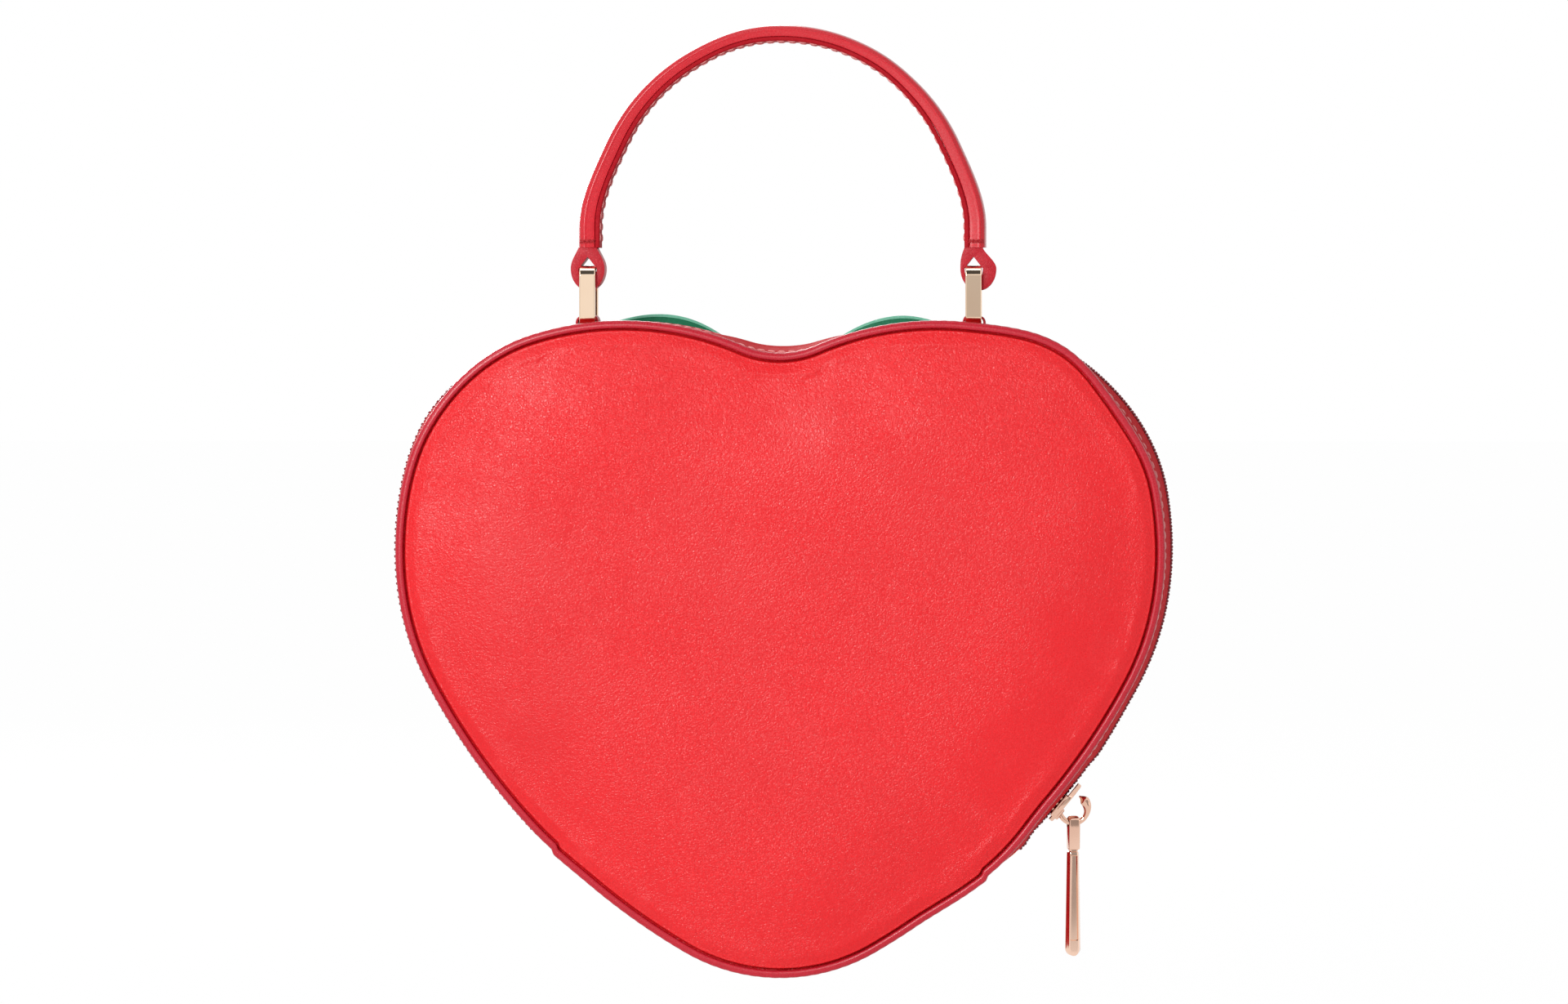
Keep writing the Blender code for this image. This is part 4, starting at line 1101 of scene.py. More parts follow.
makeLining(-1, "back_lining_tray", "bag_back", ("back_lining",))
makeLining(1, "front_lining_tray", "bag_front", ("front_lining",))

pocket = {
    "width": 92.0 * mm,
    "height": 62.0 * mm,
    "corner": 9.0 * mm,
    "topBelowNotch": 22.0 * mm,
    "cloth": 0.7 * mm,
    "reach": 22.2 * mm,
    "hem": 8.0 * mm,
    "gape": 0.9 * mm,
    "columns": 40,
    "rows": 30,
    "margin": 1.8 * mm,  # from the seam to the edge
    "pitch": 3.0 * mm,
}


def makePocket():
    top = notchHeight - pocket["topBelowNotch"]
    half, low = pocket["width"] / 2, top - pocket["height"]
    columns, rows, corner = pocket["columns"], pocket["rows"], pocket["corner"]

    def place(column, row):
        # square corners at the top and round ones below; the mouth gapes a little
        up = row / rows
        z = low + pocket["height"] * up
        narrow = 0.0
        if z < low + corner:
            drop = (low + corner - z) / corner
            narrow = corner * (1.0 - sqrt(max(1.0 - drop * drop, 0.0)))
        across = column / columns * 2.0 - 1.0
        gape = pocket["gape"] * smoothStep(up) * (1.0 - across * across)
        hem = 0.25 * mm if z > top - pocket["hem"] else 0.0
        return Vector(((half - narrow) * across, depthOf(-1, pocket["reach"] - gape - hem), z))

    obj = layGrid("slip_pocket_cloth", columns, rows, place, (pocket["width"], pocket["height"]))
    faceAwayFrom(obj, Vector((0, -0.2, domeMiddle.y)))
    modify(obj, "SOLIDIFY", thickness=pocket["cloth"], offset=-1.0)
    finishPiece(obj, "slip_pocket_cloth", "bag_back", liningCloth, ("slip_pocket",))
    frames, out = [], Vector((0, 1, 0))
    depth = depthOf(-1, pocket["reach"] - 0.02 * mm)
    path = [(-half + pocket["margin"], top - 2.0 * mm)]
    for angle in (pi / 2 * k / 6 for k in range(7)):
        bend = corner - pocket["margin"]
        path.append((-half + corner - bend * cos(angle), low + corner - bend * sin(angle)))
    path += [(-x, z) for x, z in reversed(path)]
    for first, last in zip(path, path[1:]):
        run = Vector((last[0] - first[0], 0.0, last[1] - first[1]))
        count, along = max(1, round(run.length / pocket["pitch"])), run.normalized()
        for k in range(count):
            spot = Vector((first[0], depth, first[1])) + run * ((k + 0.5) / count)
            frames.append(frameOf(spot, along, out.cross(along), out))
    sewRow("slip_pocket_stitches", "bag_back", redThread, frames, 2.1 * mm, 0.45 * mm)


makePocket()
print("linings and pocket set")


# Handle: a rolled leather cover over a core, a strip under it, and its stitches

handle = {
    "radius": 48.5 * mm,
    "thickness": 4.3 * mm,
    "legThickness": 4.95 * mm,
    "width": 11.0 * mm,
    "leg": 5.6 * mm,
    "underlay": 1.1 * mm,
    "wallShare": 0.6,
    "archSteps": 120,
    "pitch": 2.9 * mm,
    "draw": 1.1 * mm,
    "crownSharpness": 0.62,
    "foot": ((0.5, 0.0), (0.12, 0.12), (0.0, 0.5)),  # mm: in from the side, up from the strip
    # mm: in from the side, up from the wall's top, where a small ridge runs
    "ridge": ((0.08, -0.55), (0.02, -0.3), (-0.06, -0.1), (0.02, 0.1), (0.24, 0.16)),
    "stitchInset": 0.9 * mm,
    "narrowLeft": (2.3, 0.0),  # mm: drawn in at the shoulder and let out at the foot
    "narrowRight": (0.8, 0.8),
}


def legShare(place):
    angle = atan2(place.z + handle["radius"], abs(place.x))
    return smoothStep(1.0 - max(angle, 0.0) / (pi / 2))


def legThickness(place):
    # the handle is thicker towards its legs
    return 1.0 + (handle["legThickness"] / handle["thickness"] - 1.0) * legShare(place)


def drawLegs(place):
    # the legs are drawn in on their inner side, and the arch is a little narrower than a circle
    flat = Vector((place.x, max(place.z + handle["radius"], 0.0)))
    inner = 1.0 - smoothStep((flat.length - handle["radius"]) / handle["thickness"])
    low = legShare(place) ** 1.5 * (0.15 + 0.85 * inner)
    shoulder = smoothStep((place.z + handle["radius"]) / (22 * mm))
    narrow, spread = handle["narrowRight"] if place.x > 0.0 else handle["narrowLeft"]
    if place.x > 24 * mm:
        narrow += 0.6 * smoothStep((place.x - 24 * mm) / (14 * mm))
    shift = handle["draw"] * low + (narrow * shoulder - spread * (1.0 - shoulder)) * mm
    place.x -= shift * smoothStep(abs(place.x) / (26 * mm)) * (1.0 if place.x > 0.0 else -1.0)


def sweepHandle(name, section, thicken=True):
    # the section stands at the left leg's top, is spun over the arch and drawn down both legs
    obj = layLoop(name, [(-handle["radius"] - up, across, -handle["radius"]) for across, up in section])
    editAll(obj, "EDGE")
    bpy.ops.mesh.spin(
        steps=handle["archSteps"], angle=-pi, center=(0, 0, -handle["radius"]), axis=(0, 1, 0)
    )
    for _ in range(3):
        pick(obj, "edges", lambda edge: edge.is_boundary)
        bpy.ops.mesh.extrude_edges_move(TRANSFORM_OT_translate={"value": (0, 0, -handle["leg"] / 3)})
    for left in (True, False):
        pick(obj, "edges", lambda edge: edge.is_boundary and (edge.verts[0].co.x < 0) == left)
        bpy.ops.mesh.edge_face_add()
    done()
    if thicken:
        for vertex in obj.data.vertices:
            flat = Vector((vertex.co.x, max(vertex.co.z + handle["radius"], 0.0)))
            up = flat.length - handle["radius"] - handle["underlay"]
            flat = Vector((flat.x, flat.y)).normalized() * (up * (legThickness(vertex.co) - 1.0))
            vertex.co.x += flat.x
            vertex.co.z += flat.y
    for vertex in obj.data.vertices:
        drawLegs(vertex.co)
    return faceOut(obj)


def archFrame(turn, across, up):
    # turn runs from 0 at the left leg's top to 1 at the right one, and past both down the legs
    angle = pi - pi * min(max(turn, 0.0), 1.0)
    out = Vector((cos(angle), 0.0, sin(angle)))
    along = Vector((sin(angle), 0.0, -cos(angle)))
    over = (min(turn, 0.0) + max(turn - 1.0, 0.0)) * pi * handle["radius"]
    spot = Vector((0.0, across, -handle["radius"])) + out * (handle["radius"] + up) + along * over
    drawLegs(spot)
    return frameOf(spot, along, out.cross(along), out)


def makeHandle():
    half, bottom, top = handle["width"] / 2, handle["underlay"] + 0.02 * mm, handle["thickness"]
    wall = bottom + (top - bottom) * handle["wallShare"]
    # a flat wall, a small ridge along its upper edge, and the domed top inside it
    edge = [(-half + across * mm, bottom + up * mm) for across, up in handle["foot"]]
    edge += [(-half + across * mm, wall + up * mm) for across, up in handle["ridge"]]
    section, spring = list(edge), wall + 0.14 * mm
    for step in range(1, 16):
        angle = pi - pi * step / 16
        dome = (top - spring) * sin(angle) ** handle["crownSharpness"]
        section.append(((half - 0.4 * mm) * cos(angle), spring + dome))
    section += [(-across, up) for across, up in reversed(edge)]
    obj = sweepHandle("handle_cover", section)
    nodes = ("handle_outer", "handle_core")
    finishPiece(obj, "handle_cover", "handle", handleLeather, nodes, 50)
    under = handle["underlay"]
    strip = [(-half + 0.3 * mm, 0.0), (-half, 0.3 * mm)]
    strip += [(-half, under - 0.25 * mm), (-half + 0.25 * mm, under)]
    strip += [(-across, up) for across, up in reversed(strip)]
    obj = sweepHandle("handle_strip", strip, False)
    finishPiece(obj, "handle_strip", "handle", stripLeather, ("handle_underlay",), 28)
    run = pi * handle["radius"] + 2 * handle["leg"]
    count = round((run - 4 * mm) / handle["pitch"])
    extra = handle["leg"] / (pi * handle["radius"])
    frames = []
    for step in range(count):
        turn = -extra + (1.0 + 2 * extra) * (step + 0.9) / (count + 0.8)
        for across in (-half + handle["stitchInset"], half - handle["stitchInset"]):
            matrix = archFrame(turn, across, -0.02 * mm)
            frames.append(matrix @ Matrix.Rotation(pi, 4, "X"))
    sewRow("handle_stitches", "handle", paleThread, frames, 2.3 * mm, 0.6 * mm)


makeHandle()
print("handle swept and sewn")


# Loops at the handle's ends, rings and tabs

loop = {
    "pivotX": 50.6 * mm,
    "pivotZ": -59.65 * mm,
    "half": 4.45 * mm,
    "neck": 2.4 * mm,
    "top": 5.5 * mm,
    "bottom": 5.7 * mm,
    "holeHalf": 2.42 * mm,
    "holeRise": 3.1 * mm,
    "holeDrop": 3.7 * mm,
    "width": 10.4 * mm,
    "belly": 1.2,
    "point": 1.0,
    "pushed": (1.0 * mm, 1.5 * mm),  # how far the right loop's two sides lie away from the middle
    "stitchFrom": 0.9 * mm,
    "stitchStep": 1.25 * mm,
    "stitchShift": 0.6 * mm,  # further out on the right loop
    "stitchFace": 5.6 * mm,
    "stitchRise": 1.6 * mm,
}
ring = {
    "band": 4.2 * mm,
    "wall": 1.5 * mm,
    "depth": 15.0 * mm,
    "span": 14.5 * mm,
    "corner": 2.7 * mm,
    "innerCorner": 1.8 * mm,
    "edge": 0.32 * mm,
}
tab = {
    "thick": 0.6 * mm,
    "room": 0.25 * mm,
    "foot": 4.4 * mm,
    "width": 10.4 * mm,
    "sink": 1.9 * mm,
    "lean": 17.0,  # degrees that the ring tilts in it
    "pitch": 3.0 * mm,
}


def plateWithHole(name, outer, inner, thick):
    # two outlines in X and Z are bridged and drawn out along Y
    obj = layLoop(name, [(x, -thick / 2, z) for x, z in outer])
    edit(obj, "EDGE")
    bpy.ops.mesh.select_all(action="DESELECT")
    bpy.ops.mesh.primitive_circle_add(vertices=len(inner), radius=1.0, fill_type="NOTHING")
    mesh = bmesh.from_edit_mesh(obj.data)
    fresh = [vertex for vertex in mesh.verts if vertex.select]
    for vertex, (x, z) in zip(fresh, inner):
        vertex.co = (x, -thick / 2, z)
    bmesh.update_edit_mesh(obj.data)
    bpy.ops.mesh.select_all(action="SELECT")
    bpy.ops.mesh.bridge_edge_loops()
    bpy.ops.mesh.select_all(action="SELECT")
    bpy.ops.mesh.extrude_region_move(TRANSFORM_OT_translate={"value": (0, thick, 0)})
    done()
    return faceOut(obj)


def loopOutlines():
    outer, inner, steps = [], [], 14
    for step in range(steps + 1):
        share = step / steps
        belly = sin(pi / 2 * share) ** loop["belly"]
        wide = loop["neck"] + (loop["half"] - loop["neck"]) * belly
        outer.append((wide, loop["top"] * (1.0 - share)))
    for step in range(1, steps + 1):
        angle = pi / 2 * step / steps
        outer.append((loop["half"] * cos(angle), -loop["bottom"] * sin(angle)))
    outer += [(-x, z) for x, z in reversed(outer[:-1])]
    count = len(outer)
    for step in range(count):
        angle = pi / 2 - tau * step / count - tau / count / 2
        power = 2.0 / (loop["point"] if sin(angle) > 0.0 else 2.0)
        rise = loop["holeRise"] if sin(angle) > 0.0 else loop["holeDrop"]
        across = loop["holeHalf"] * signedPower(cos(angle), power)
        inner.append((across, rise * signedPower(sin(angle), power)))
    return outer, inner


def makeLoops():
    outer, inner = loopOutlines()
    for side, hand in ((-1, "left"), (1, "right")):
        name = "leather_loop_" + hand
        shape = outer
        if side > 0:
            low = [smoothStep((loop["top"] - z) / loop["top"]) for _, z in outer]
            shape = [(x + loop["pushed"][x > 0.0] * share, z) for (x, z), share in zip(outer, low)]
        obj = plateWithHole(name, shape, inner, loop["width"])
        softenEdges(obj, 0.4 * mm, 3, 50)
        obj.data.transform(Matrix.Translation((side * loop["pivotX"], 0.0, loop["pivotZ"])))
        finishPiece(obj, name, "handle", loopLeather, ("handle_loop_" + hand,), 45)
        # cross stitches at the handle's foot, seen from the back and from the front
        frames = []
        foot = -handle["radius"] - handle["leg"]
        for face in (-1, 1):
            out = Vector((0, face, 0))
            for step in range(3):
                for tilt in (-0.5, 0.5):
                    away = loop["stitchFrom"] + loop["stitchStep"] * step
                    away += handle["radius"] + (loop["stitchShift"] if side > 0 else 0.0)
                    spot = Vector((side * away, face * loop["stitchFace"], foot + loop["stitchRise"]))
                    along = Vector((1, 0, tilt)).normalized()
                    frames.append(frameOf(spot, along, out.cross(along), out))
        sewRow("loop_stitches_" + hand, "handle", darkThread, frames, 1.9 * mm, 0.6 * mm)


def roundedOutline(halfY, halfZ, middle, radius, steps=7):
    points = []
    for quarter, signY, signZ in ((0, 1, 1), (1, -1, 1), (2, -1, -1), (3, 1, -1)):
        for step in range(steps + 1):
            angle = pi / 2 * (quarter + step / steps)
            points.append((
                signY * (halfY - radius) + radius * cos(angle),
                middle + signZ * (halfZ - radius) + radius * sin(angle),
            ))
    return points


def makeRings():
    high, wide, middle = (ring["span"] + ring["wall"]) / 2, ring["depth"] / 2, -ring["span"] / 2
    for side, hand, body in ((-1, "left", "ring_link_left"), (1, "right", "ring_link_right")):
        outer = roundedOutline(wide, high, middle, ring["corner"])
        inner = roundedOutline(wide - ring["wall"], high - ring["wall"], middle, ring["innerCorner"])
        obj = plateWithHole("gold_ring_" + hand, outer, inner, ring["band"])
        softenEdges(obj, ring["edge"], 3, 40)
        obj.data.transform(Matrix.Rotation(pi / 2, 4, "Z"))
        obj.data.transform(Matrix.Translation((side * loop["pivotX"], 0.0, loop["pivotZ"])))
        finishPiece(obj, "gold_ring_" + hand, body, paleGold, ("ring_" + hand,), 40)


def makeTabs():
    out = ringSpot[1]
    lean = radians(tab["lean"]) + abs(atan2(out.x, out.y))
    halfWide = ring["band"] / 2 * cos(lean) + ring["wall"] / 2 * sin(lean) + tab["room"]
    rise = 2 * (ring["wall"] / 2 * cos(lean) + ring["band"] / 2 * sin(lean)) + tab["room"]
    path = [
        (-halfWide - tab["thick"] - tab["foot"] * (1 - k / 4), tab["thick"] / 2) for k in range(4)
    ]
    for step in range(21):
        angle = pi - pi * step / 20
        x = (halfWide + tab["thick"] / 2) * signedPower(cos(angle), 0.5)
        path.append((x, tab["thick"] / 2 + rise * max(sin(angle), 0.0) ** 0.5))
    path += [(-x, z) for x, z in reversed(path[:4])]
    for side, hand in ((-1, "left"), (1, "right")):
        xAxis = Vector((out.y, 0.0, -side * out.x))
        zAxis = Vector((side * out.x, 0.0, out.y))
        base = ringSpot[0] - tab["sink"] * out
        centre = Vector((side * base.x, 0.0, base.y - heart["drop"]))

        def place(column, row):
            across = (row / 8 * 2.0 - 1.0) * tab["width"] / 2
            x, z = path[column]
            return centre + xAxis * x + zAxis * z + Vector((0, across, 0))

        name = "leather_tab_" + hand
        obj = layGrid(name, len(path) - 1, 8, place)
        faceAwayFrom(obj, insideBag)
        modify(obj, "SOLIDIFY", thickness=tab["thick"], offset=0.0)
        softenEdges(obj, 0.25 * mm, 2, 50)
        finishPiece(obj, name, "bag_back", loopLeather, ("ring_tab_" + hand,), 45)
        frames = []
        for end in (-1, 1):
            for row in range(3):
                spot = centre + xAxis * end * (halfWide + tab["thick"] + tab["foot"] * 0.55)
                spot += zAxis * (tab["thick"] + 0.02 * mm) + Vector((0, (row - 1) * tab["pitch"], 0))
                along = Vector((0, 1, 0))
                frames.append(frameOf(spot, along, zAxis.cross(along), zAxis))
        sewRow("tab_stitches_" + hand, "bag_back", paleThread, frames, 2.2 * mm, 0.45 * mm)


makeLoops()
makeRings()
makeTabs()
print("loops, rings and tabs fitted")


# Slider, hook and pull

slider = {
    "length": 12.4 * mm,
    "width": 8.6 * mm,
    "plate": 1.2 * mm,
    "gap": 0.45 * mm,
    "web": 0.7 * mm,
    "hookRadius": 3.7 * mm,
    "hookRise": 2.3 * mm,
    "hookTurns": (208.0, -16.0),  # degrees, from its root to its point
    "coilDrop": 1.7 * mm,  # from the heart's outline down to the coil's top
    "tapeDrop": 3.7 * mm,  # and to the tape's underside
    "squareness": 0.62,
    "webLength": 5.0 * mm,
    "webShift": -1.2 * mm,
    "sideSize": (6.6 * mm, 0.5 * mm, 0.8 * mm),
    "sideShift": (-1.6 * mm, 3.95 * mm, -0.05 * mm),
    "saddleSize": (3.4 * mm, 3.0 * mm, 1.1 * mm),
    "saddleShift": (-3.3 * mm, 0.25 * mm),
}


def sliderFrame():
    row = next(r for r in outline if r[2] >= radians(heart["sliderTurn"]))
    out = Vector((row[1].x, 0.0, row[1].y))
    along = Vector((-row[1].y, 0.0, row[1].x))
    spot = Vector((row[0].x, heart["zipPlane"], row[0].y - heart["drop"]))
    return frameOf(spot, along, out.cross(along), out)


def sliderLevels():
    swell = heart["swell"] + heart["sliderSwell"]
    low = swell - slider["tapeDrop"] - slider["gap"]
    high = swell - slider["coilDrop"] + slider["gap"]
    return low - slider["plate"], low, high, high + slider["plate"]


def makePlate(name, low, high, lip):
    # a shield-shaped plate with its long sides turned towards the tape
    halfX, halfY = slider["length"] / 2, slider["width"] / 2
    outlinePoints = []
    start, finish = (low, high) if lip > 0 else (high, low)
    for step in range(48):
        angle = tau * step / 48
        x = halfX * signedPower(cos(angle), slider["squareness"])
        taper = 1.0 - 0.34 * smoothStep((x / halfX - 0.1) / 0.9)
        outlinePoints.append((x, halfY * signedPower(sin(angle), slider["squareness"]) * taper, start))
    obj = layLoop(name, outlinePoints, "NGON")
    editAll(obj, "FACE")
    bpy.ops.mesh.extrude_region_move(TRANSFORM_OT_translate={"value": (0, 0, finish - start)})
    bpy.ops.mesh.inset(thickness=0.7 * mm)
    bpy.ops.transform.translate(value=(0, 0, (finish - start) * 0.12))
    done()
    faceOut(obj)
    softenEdges(obj, 0.22 * mm, 3, 30)
    return obj


def makeSlider():
    levels = sliderLevels()
    body = makePlate("slider_outer", levels[2], levels[3], 1)
    inner = makePlate("slider_inner", levels[0], levels[1], -1)
    # the web between the plates, the outer plate's turned-down sides and the hook's saddle
    webSize = (slider["webLength"], slider["web"], levels[2] - levels[1] + 0.8 * mm)
    parts = [body, inner, block(webSize, (slider["webShift"], 0, (levels[1] + levels[2]) / 2), 0.1 * mm)]
    sideX, sideY, sideZ = slider["sideShift"]
    for side in (-1, 1):
        parts.append(block(slider["sideSize"], (sideX, side * sideY, levels[2] + sideZ), 0.12 * mm))
    saddleX, saddleZ = slider["saddleShift"]
    parts.append(block(slider["saddleSize"], (saddleX, 0, levels[3] + saddleZ), 0.4 * mm, 3))
    freshStart()
    for part in parts:
        part.select_set(True)
    bpy.context.view_layer.objects.active = body
    bpy.ops.object.join()
    body.data.transform(sliderFrame())
    finishPiece(body, "gold_slider", "zip_slider", roseGold, ("slider_body",), 40)
    # the hook: a flat-sided bow that flares and ends in a point
    steps, corners = 40, 12
    rows = []
    centre = Vector((0, 0, levels[3] + slider["hookRise"]))
    first, last = slider["hookTurns"]
    for step in range(steps + 1):
        share = step / steps
        angle = radians(first + (last - first) * share)
        flare = smoothStep((share - 0.55) / 0.33)
        point = smoothStep((share - 0.86) / 0.14)
        thick = 0.7 * mm + 0.62 * mm * flare - 1.1 * mm * point
        wide = 0.74 * mm + 0.2 * mm * flare - 0.5 * mm * point
        lean = Vector((cos(angle), 0.0, sin(angle)))
        row = []
        for corner in range(corners):
            turn = tau * corner / corners
            spot = centre + lean * (slider["hookRadius"] + thick * signedPower(cos(turn), 0.7))
            row.append(spot + Vector((0, wide * signedPower(sin(turn), 0.7), 0)))
        rows.append(row)
    obj = layRows("gold_hook", rows)
    obj.data.transform(sliderFrame())
    finishPiece(obj, "gold_hook", "zip_slider", roseGold, ("slider_bail",), 50)


pull = {
    "length": 37.2 * mm,
    "eye": 9.0 * mm,
    "eyeWidth": 3.0 * mm,
    "eyeDepth": 3.5 * mm,
    "eyeWall": 0.65 * mm,
    "groove": 0.5 * mm,
    "topWidth": 3.2 * mm,
    "bottomWidth": 4.1 * mm,
    "thick": 2.2 * mm,
    "channel": 0.55 * mm,
    "face": 0.66,  # the front face's share of the width
    "twist": 13.0,  # it hangs turned a little on its hook
    "hookWire": 0.75 * mm,
    "eyePlay": 0.15 * mm,
    "dome": 1.3 * mm,  # over which the eye's top rounds off
    # mm: above the eye's foot, half width and half depth; then below the bar's top
    "waist": ((0.45, 1.5, 1.4), (0.12, 1.45, 1.25), (0.0, 1.2, 0.85)),
    "neck": ((0.0, 1.2, 0.85), (0.12, 1.5, 1.05), (0.35, 1.58, 1.1)),
    "boreSize": (8.0 * mm, 2.5 * mm),
}


def makePull():
    pivot = sliderFrame() @ Vector((0.0, 0.0, sliderLevels()[3] + slider["hookRise"]))
    wireInside = slider["hookRadius"] - pull["hookWire"]
    holeTop = pull["eyePlay"] - sqrt(wireInside ** 2 - (pull["eyeWidth"] / 2) ** 2)
    holeLow = -(slider["hookRadius"] + pull["hookWire"] + pull["eyePlay"])
    top = holeTop + pull["eyeWall"]
    eyeLow = top - pull["eye"]
    barTop = eyeLow - pull["groove"]
    low = top - pull["length"]
    channelTop, channelLow = barTop - 1.1 * mm, low + 4.2 * mm
    levels = []  # height, half width, half depth, channel depth

    for share in (0.0, 0.08, 0.2, 0.4, 0.65, 1.0):
        bulge = sqrt(max(1.0 - (1.0 - share) ** 2, 0.0))
        wide = pull["eyeWidth"] / 2 * (0.45 + 0.55 * bulge)
        levels.append((top - pull["dome"] * share, wide, pull["eyeDepth"] / 2 * (0.25 + 0.75 * bulge), 0.0))
    sideTop = top - pull["dome"]
    for share in (0.3, 0.6, 0.9):
        z = sideTop + (eyeLow + 0.8 * mm - sideTop) * share
        levels.append((z, pull["eyeWidth"] / 2, pull["eyeDepth"] / 2 - 0.25 * mm * share, 0.0))
    levels += [(eyeLow + up * mm, wide * mm, deep * mm, 0.0) for up, wide, deep in pull["waist"]]
    levels += [(barTop - down * mm, wide * mm, deep * mm, 0.0) for down, wide, deep in pull["neck"]]
    ends = [channelTop + 0.1 * mm, channelTop - 0.1 * mm]
    ends += [channelTop + (channelLow - channelTop) * k / 12 for k in range(1, 12)]
    ends += [channelLow + 0.1 * mm, channelLow - 0.1 * mm]
    full = pull["bottomWidth"] / 2

    def halfWidth(z):
        share = (barTop - z) / (barTop - (low + full))
        return pull["topWidth"] / 2 + (full - pull["topWidth"] / 2) * min(max(share, 0.0), 1.0)

    for index, z in enumerate(ends):
        deep = 0.0 if index in (0, len(ends) - 1) else pull["channel"]
        levels.append((z, halfWidth(z), pull["thick"] / 2, deep))
    for step in range(0, 13):
        angle = pi / 2 * step / 12
        z = low + full - full * sin(angle)
        if z < channelLow - 0.3 * mm:
            thin = max(pull["thick"] / 2 * sqrt(max(1.0 - (step / 12) ** 6, 0.0)), 0.3 * mm)
            levels.append((z, max(full * cos(angle), 0.12 * mm), thin, 0.0))
    rows = []
    for z, halfX, halfY, deep in levels:
        # flat back, sides that slope in towards the narrow front, and the channel in the front
        bevel = min(0.3 * mm, halfX * 0.3, halfY * 0.3)
        face = halfX * (0.94 if z > eyeLow - 0.1 * mm else pull["face"])
        inside = face - 0.32 * mm if deep else face * 0.6
        back = [(halfX - bevel, halfY), (0.0, halfY), (-halfX + bevel, halfY)]
        left = [(-halfX + bevel * 0.3, halfY - bevel * 0.3), (-halfX, halfY - bevel)]
        left += [(-halfX, halfY * 0.3), (-face - bevel * 0.25, -halfY + bevel * 0.7)]
        left.append((-face, -halfY + bevel * 0.25))
        front = [(-face + bevel * 0.6, -halfY), (-inside - 0.08 * mm, -halfY)]
        front += [(-inside + 0.1 * mm, -halfY + deep), (0.0, -halfY + deep * 1.15)]
        front += [(-x, y) for x, y in reversed(front[:3])]
        section = back + left + front + [(-x, y) for x, y in reversed(left)]
        rows.append([Vector((x, y, z)) for x, y in section])
    obj = layRows("gold_pull", rows)
    # the bore through the eye, in which the hook lies
    boreSize = (*pull["boreSize"], holeTop - holeLow + 0.1 * mm)
    bore = block(boreSize, (0, 0, (holeTop + holeLow) / 2), 0.6 * mm, 4, 30)
    modify(obj, "BOOLEAN", operation="DIFFERENCE", solver="EXACT", object=bore)
    bpy.data.objects.remove(bore, do_unlink=True)
    obj.data.transform(Matrix.Translation(pivot) @ Matrix.Rotation(radians(pull["twist"]), 4, "Z"))
    finishPiece(obj, "gold_pull", "zip_pull", roseGold, ("pull_bar",), 32)


makeSlider()
makePull()
print("slider, hook and pull fitted")


# Strawberry front: leaves, boss and seeds on the padded dome

leaves = {
    "belowNotch": 11.0 * mm,
    "root": 1.0 * mm,
    "stand": 0.75 * mm,
    "thick": 1.2 * mm,
    "across": (
        -1.0, -0.93, -0.85, -0.72, -0.56, -0.4, -0.25, -0.11, 0.0,
        0.11, 0.25, 0.4, 0.56, 0.72, 0.85, 0.93, 1.0,
    ),
    "columns": 44,
    "cup": 1.1 * mm,
    "wave": 0.5 * mm,
    "vein": 0.45 * mm,
    "underside": 0.25 * mm,
    "pitch": 3.2 * mm,
    "stitchInset": 1.7 * mm,
    "stitchLeast": 2.6 * mm,  # narrower parts of a leaf have no stitches
    "sizes": {  # direction in degrees, length, half width, bow, how pointed root and tip are
        "upperLeft": (8.3, 65.0 * mm, 11.7 * mm, 4.5 * mm, 1.1, 0.9),
        "upperRight": (8.5, 60.0 * mm, 11.7 * mm, 4.4 * mm, 0.72, 1.1),
        "lower": (-41.0, 52.0 * mm, 10.0 * mm, 2.0 * mm, 1.25, 1.25),
        "middle": (-90.0, 44.0 * mm, 9.0 * mm, 0.0, 1.25, 1.25),
    },
}
calyxHeight = notchHeight - leaves["belowNotch"]
frontTree = BVHTree.FromPolygons(
    [vertex.co.copy() for vertex in frontPanel.data.vertices],
    [tuple(face.vertices) for face in frontPanel.data.polygons],
)
domeEdge = sorted(
    (atan2(p.z - domeMiddle.y, p.x - domeMiddle.x), (Vector((p.x, p.z)) - domeMiddle).length)
    for p in heartLoop(frontPad["edge"], 0.0)
)
domeAngles = [row[0] for row in domeEdge]


def domeShare(x, z):
    away = Vector((x, z)) - domeMiddle
    index = bisect_left(domeAngles, atan2(away.y, away.x)) % len(domeEdge)
    return away.length / domeEdge[index][1]


def frontDepth(x, z):
    # the dome's depth at a place, and a level shelf past its edge
    share = domeShare(x, z)
    shelf = depthOf(1, frontPad["reach"] + domeRise(0.985))
    if share > 0.99:
        return shelf
    hit = frontTree.ray_cast(Vector((x, 0.2, z)), Vector((0, -1, 0)))[0]
    surface = hit.y if hit else shelf
    return max(surface, shelf) if share > 0.9 else surface


def leafSpot(size, side, along, across):
    direction, length, _, bow, _, _ = size
    axis = Vector((cos(radians(direction)), sin(radians(direction))))
    beside = Vector((-axis.y, axis.x))
    distance = leaves["root"] + (length - leaves["root"]) * along
    flat = axis * distance + beside * (bow * 4.0 * along * (1.0 - along) + across)
    return Vector((side * flat.x, calyxHeight + flat.y))


def leafRise(along, part, narrow):
    # how far a leaf stands off the dome: cupped and wavy across, and lifted towards its tip
    cup = leaves["cup"] * part * part * narrow + leaves["wave"] * sin(along * 7.0) * part * narrow
    return cup + leaves["cup"] * 0.9 * smoothStep((along - 0.75) / 0.25) + leaves["underside"]


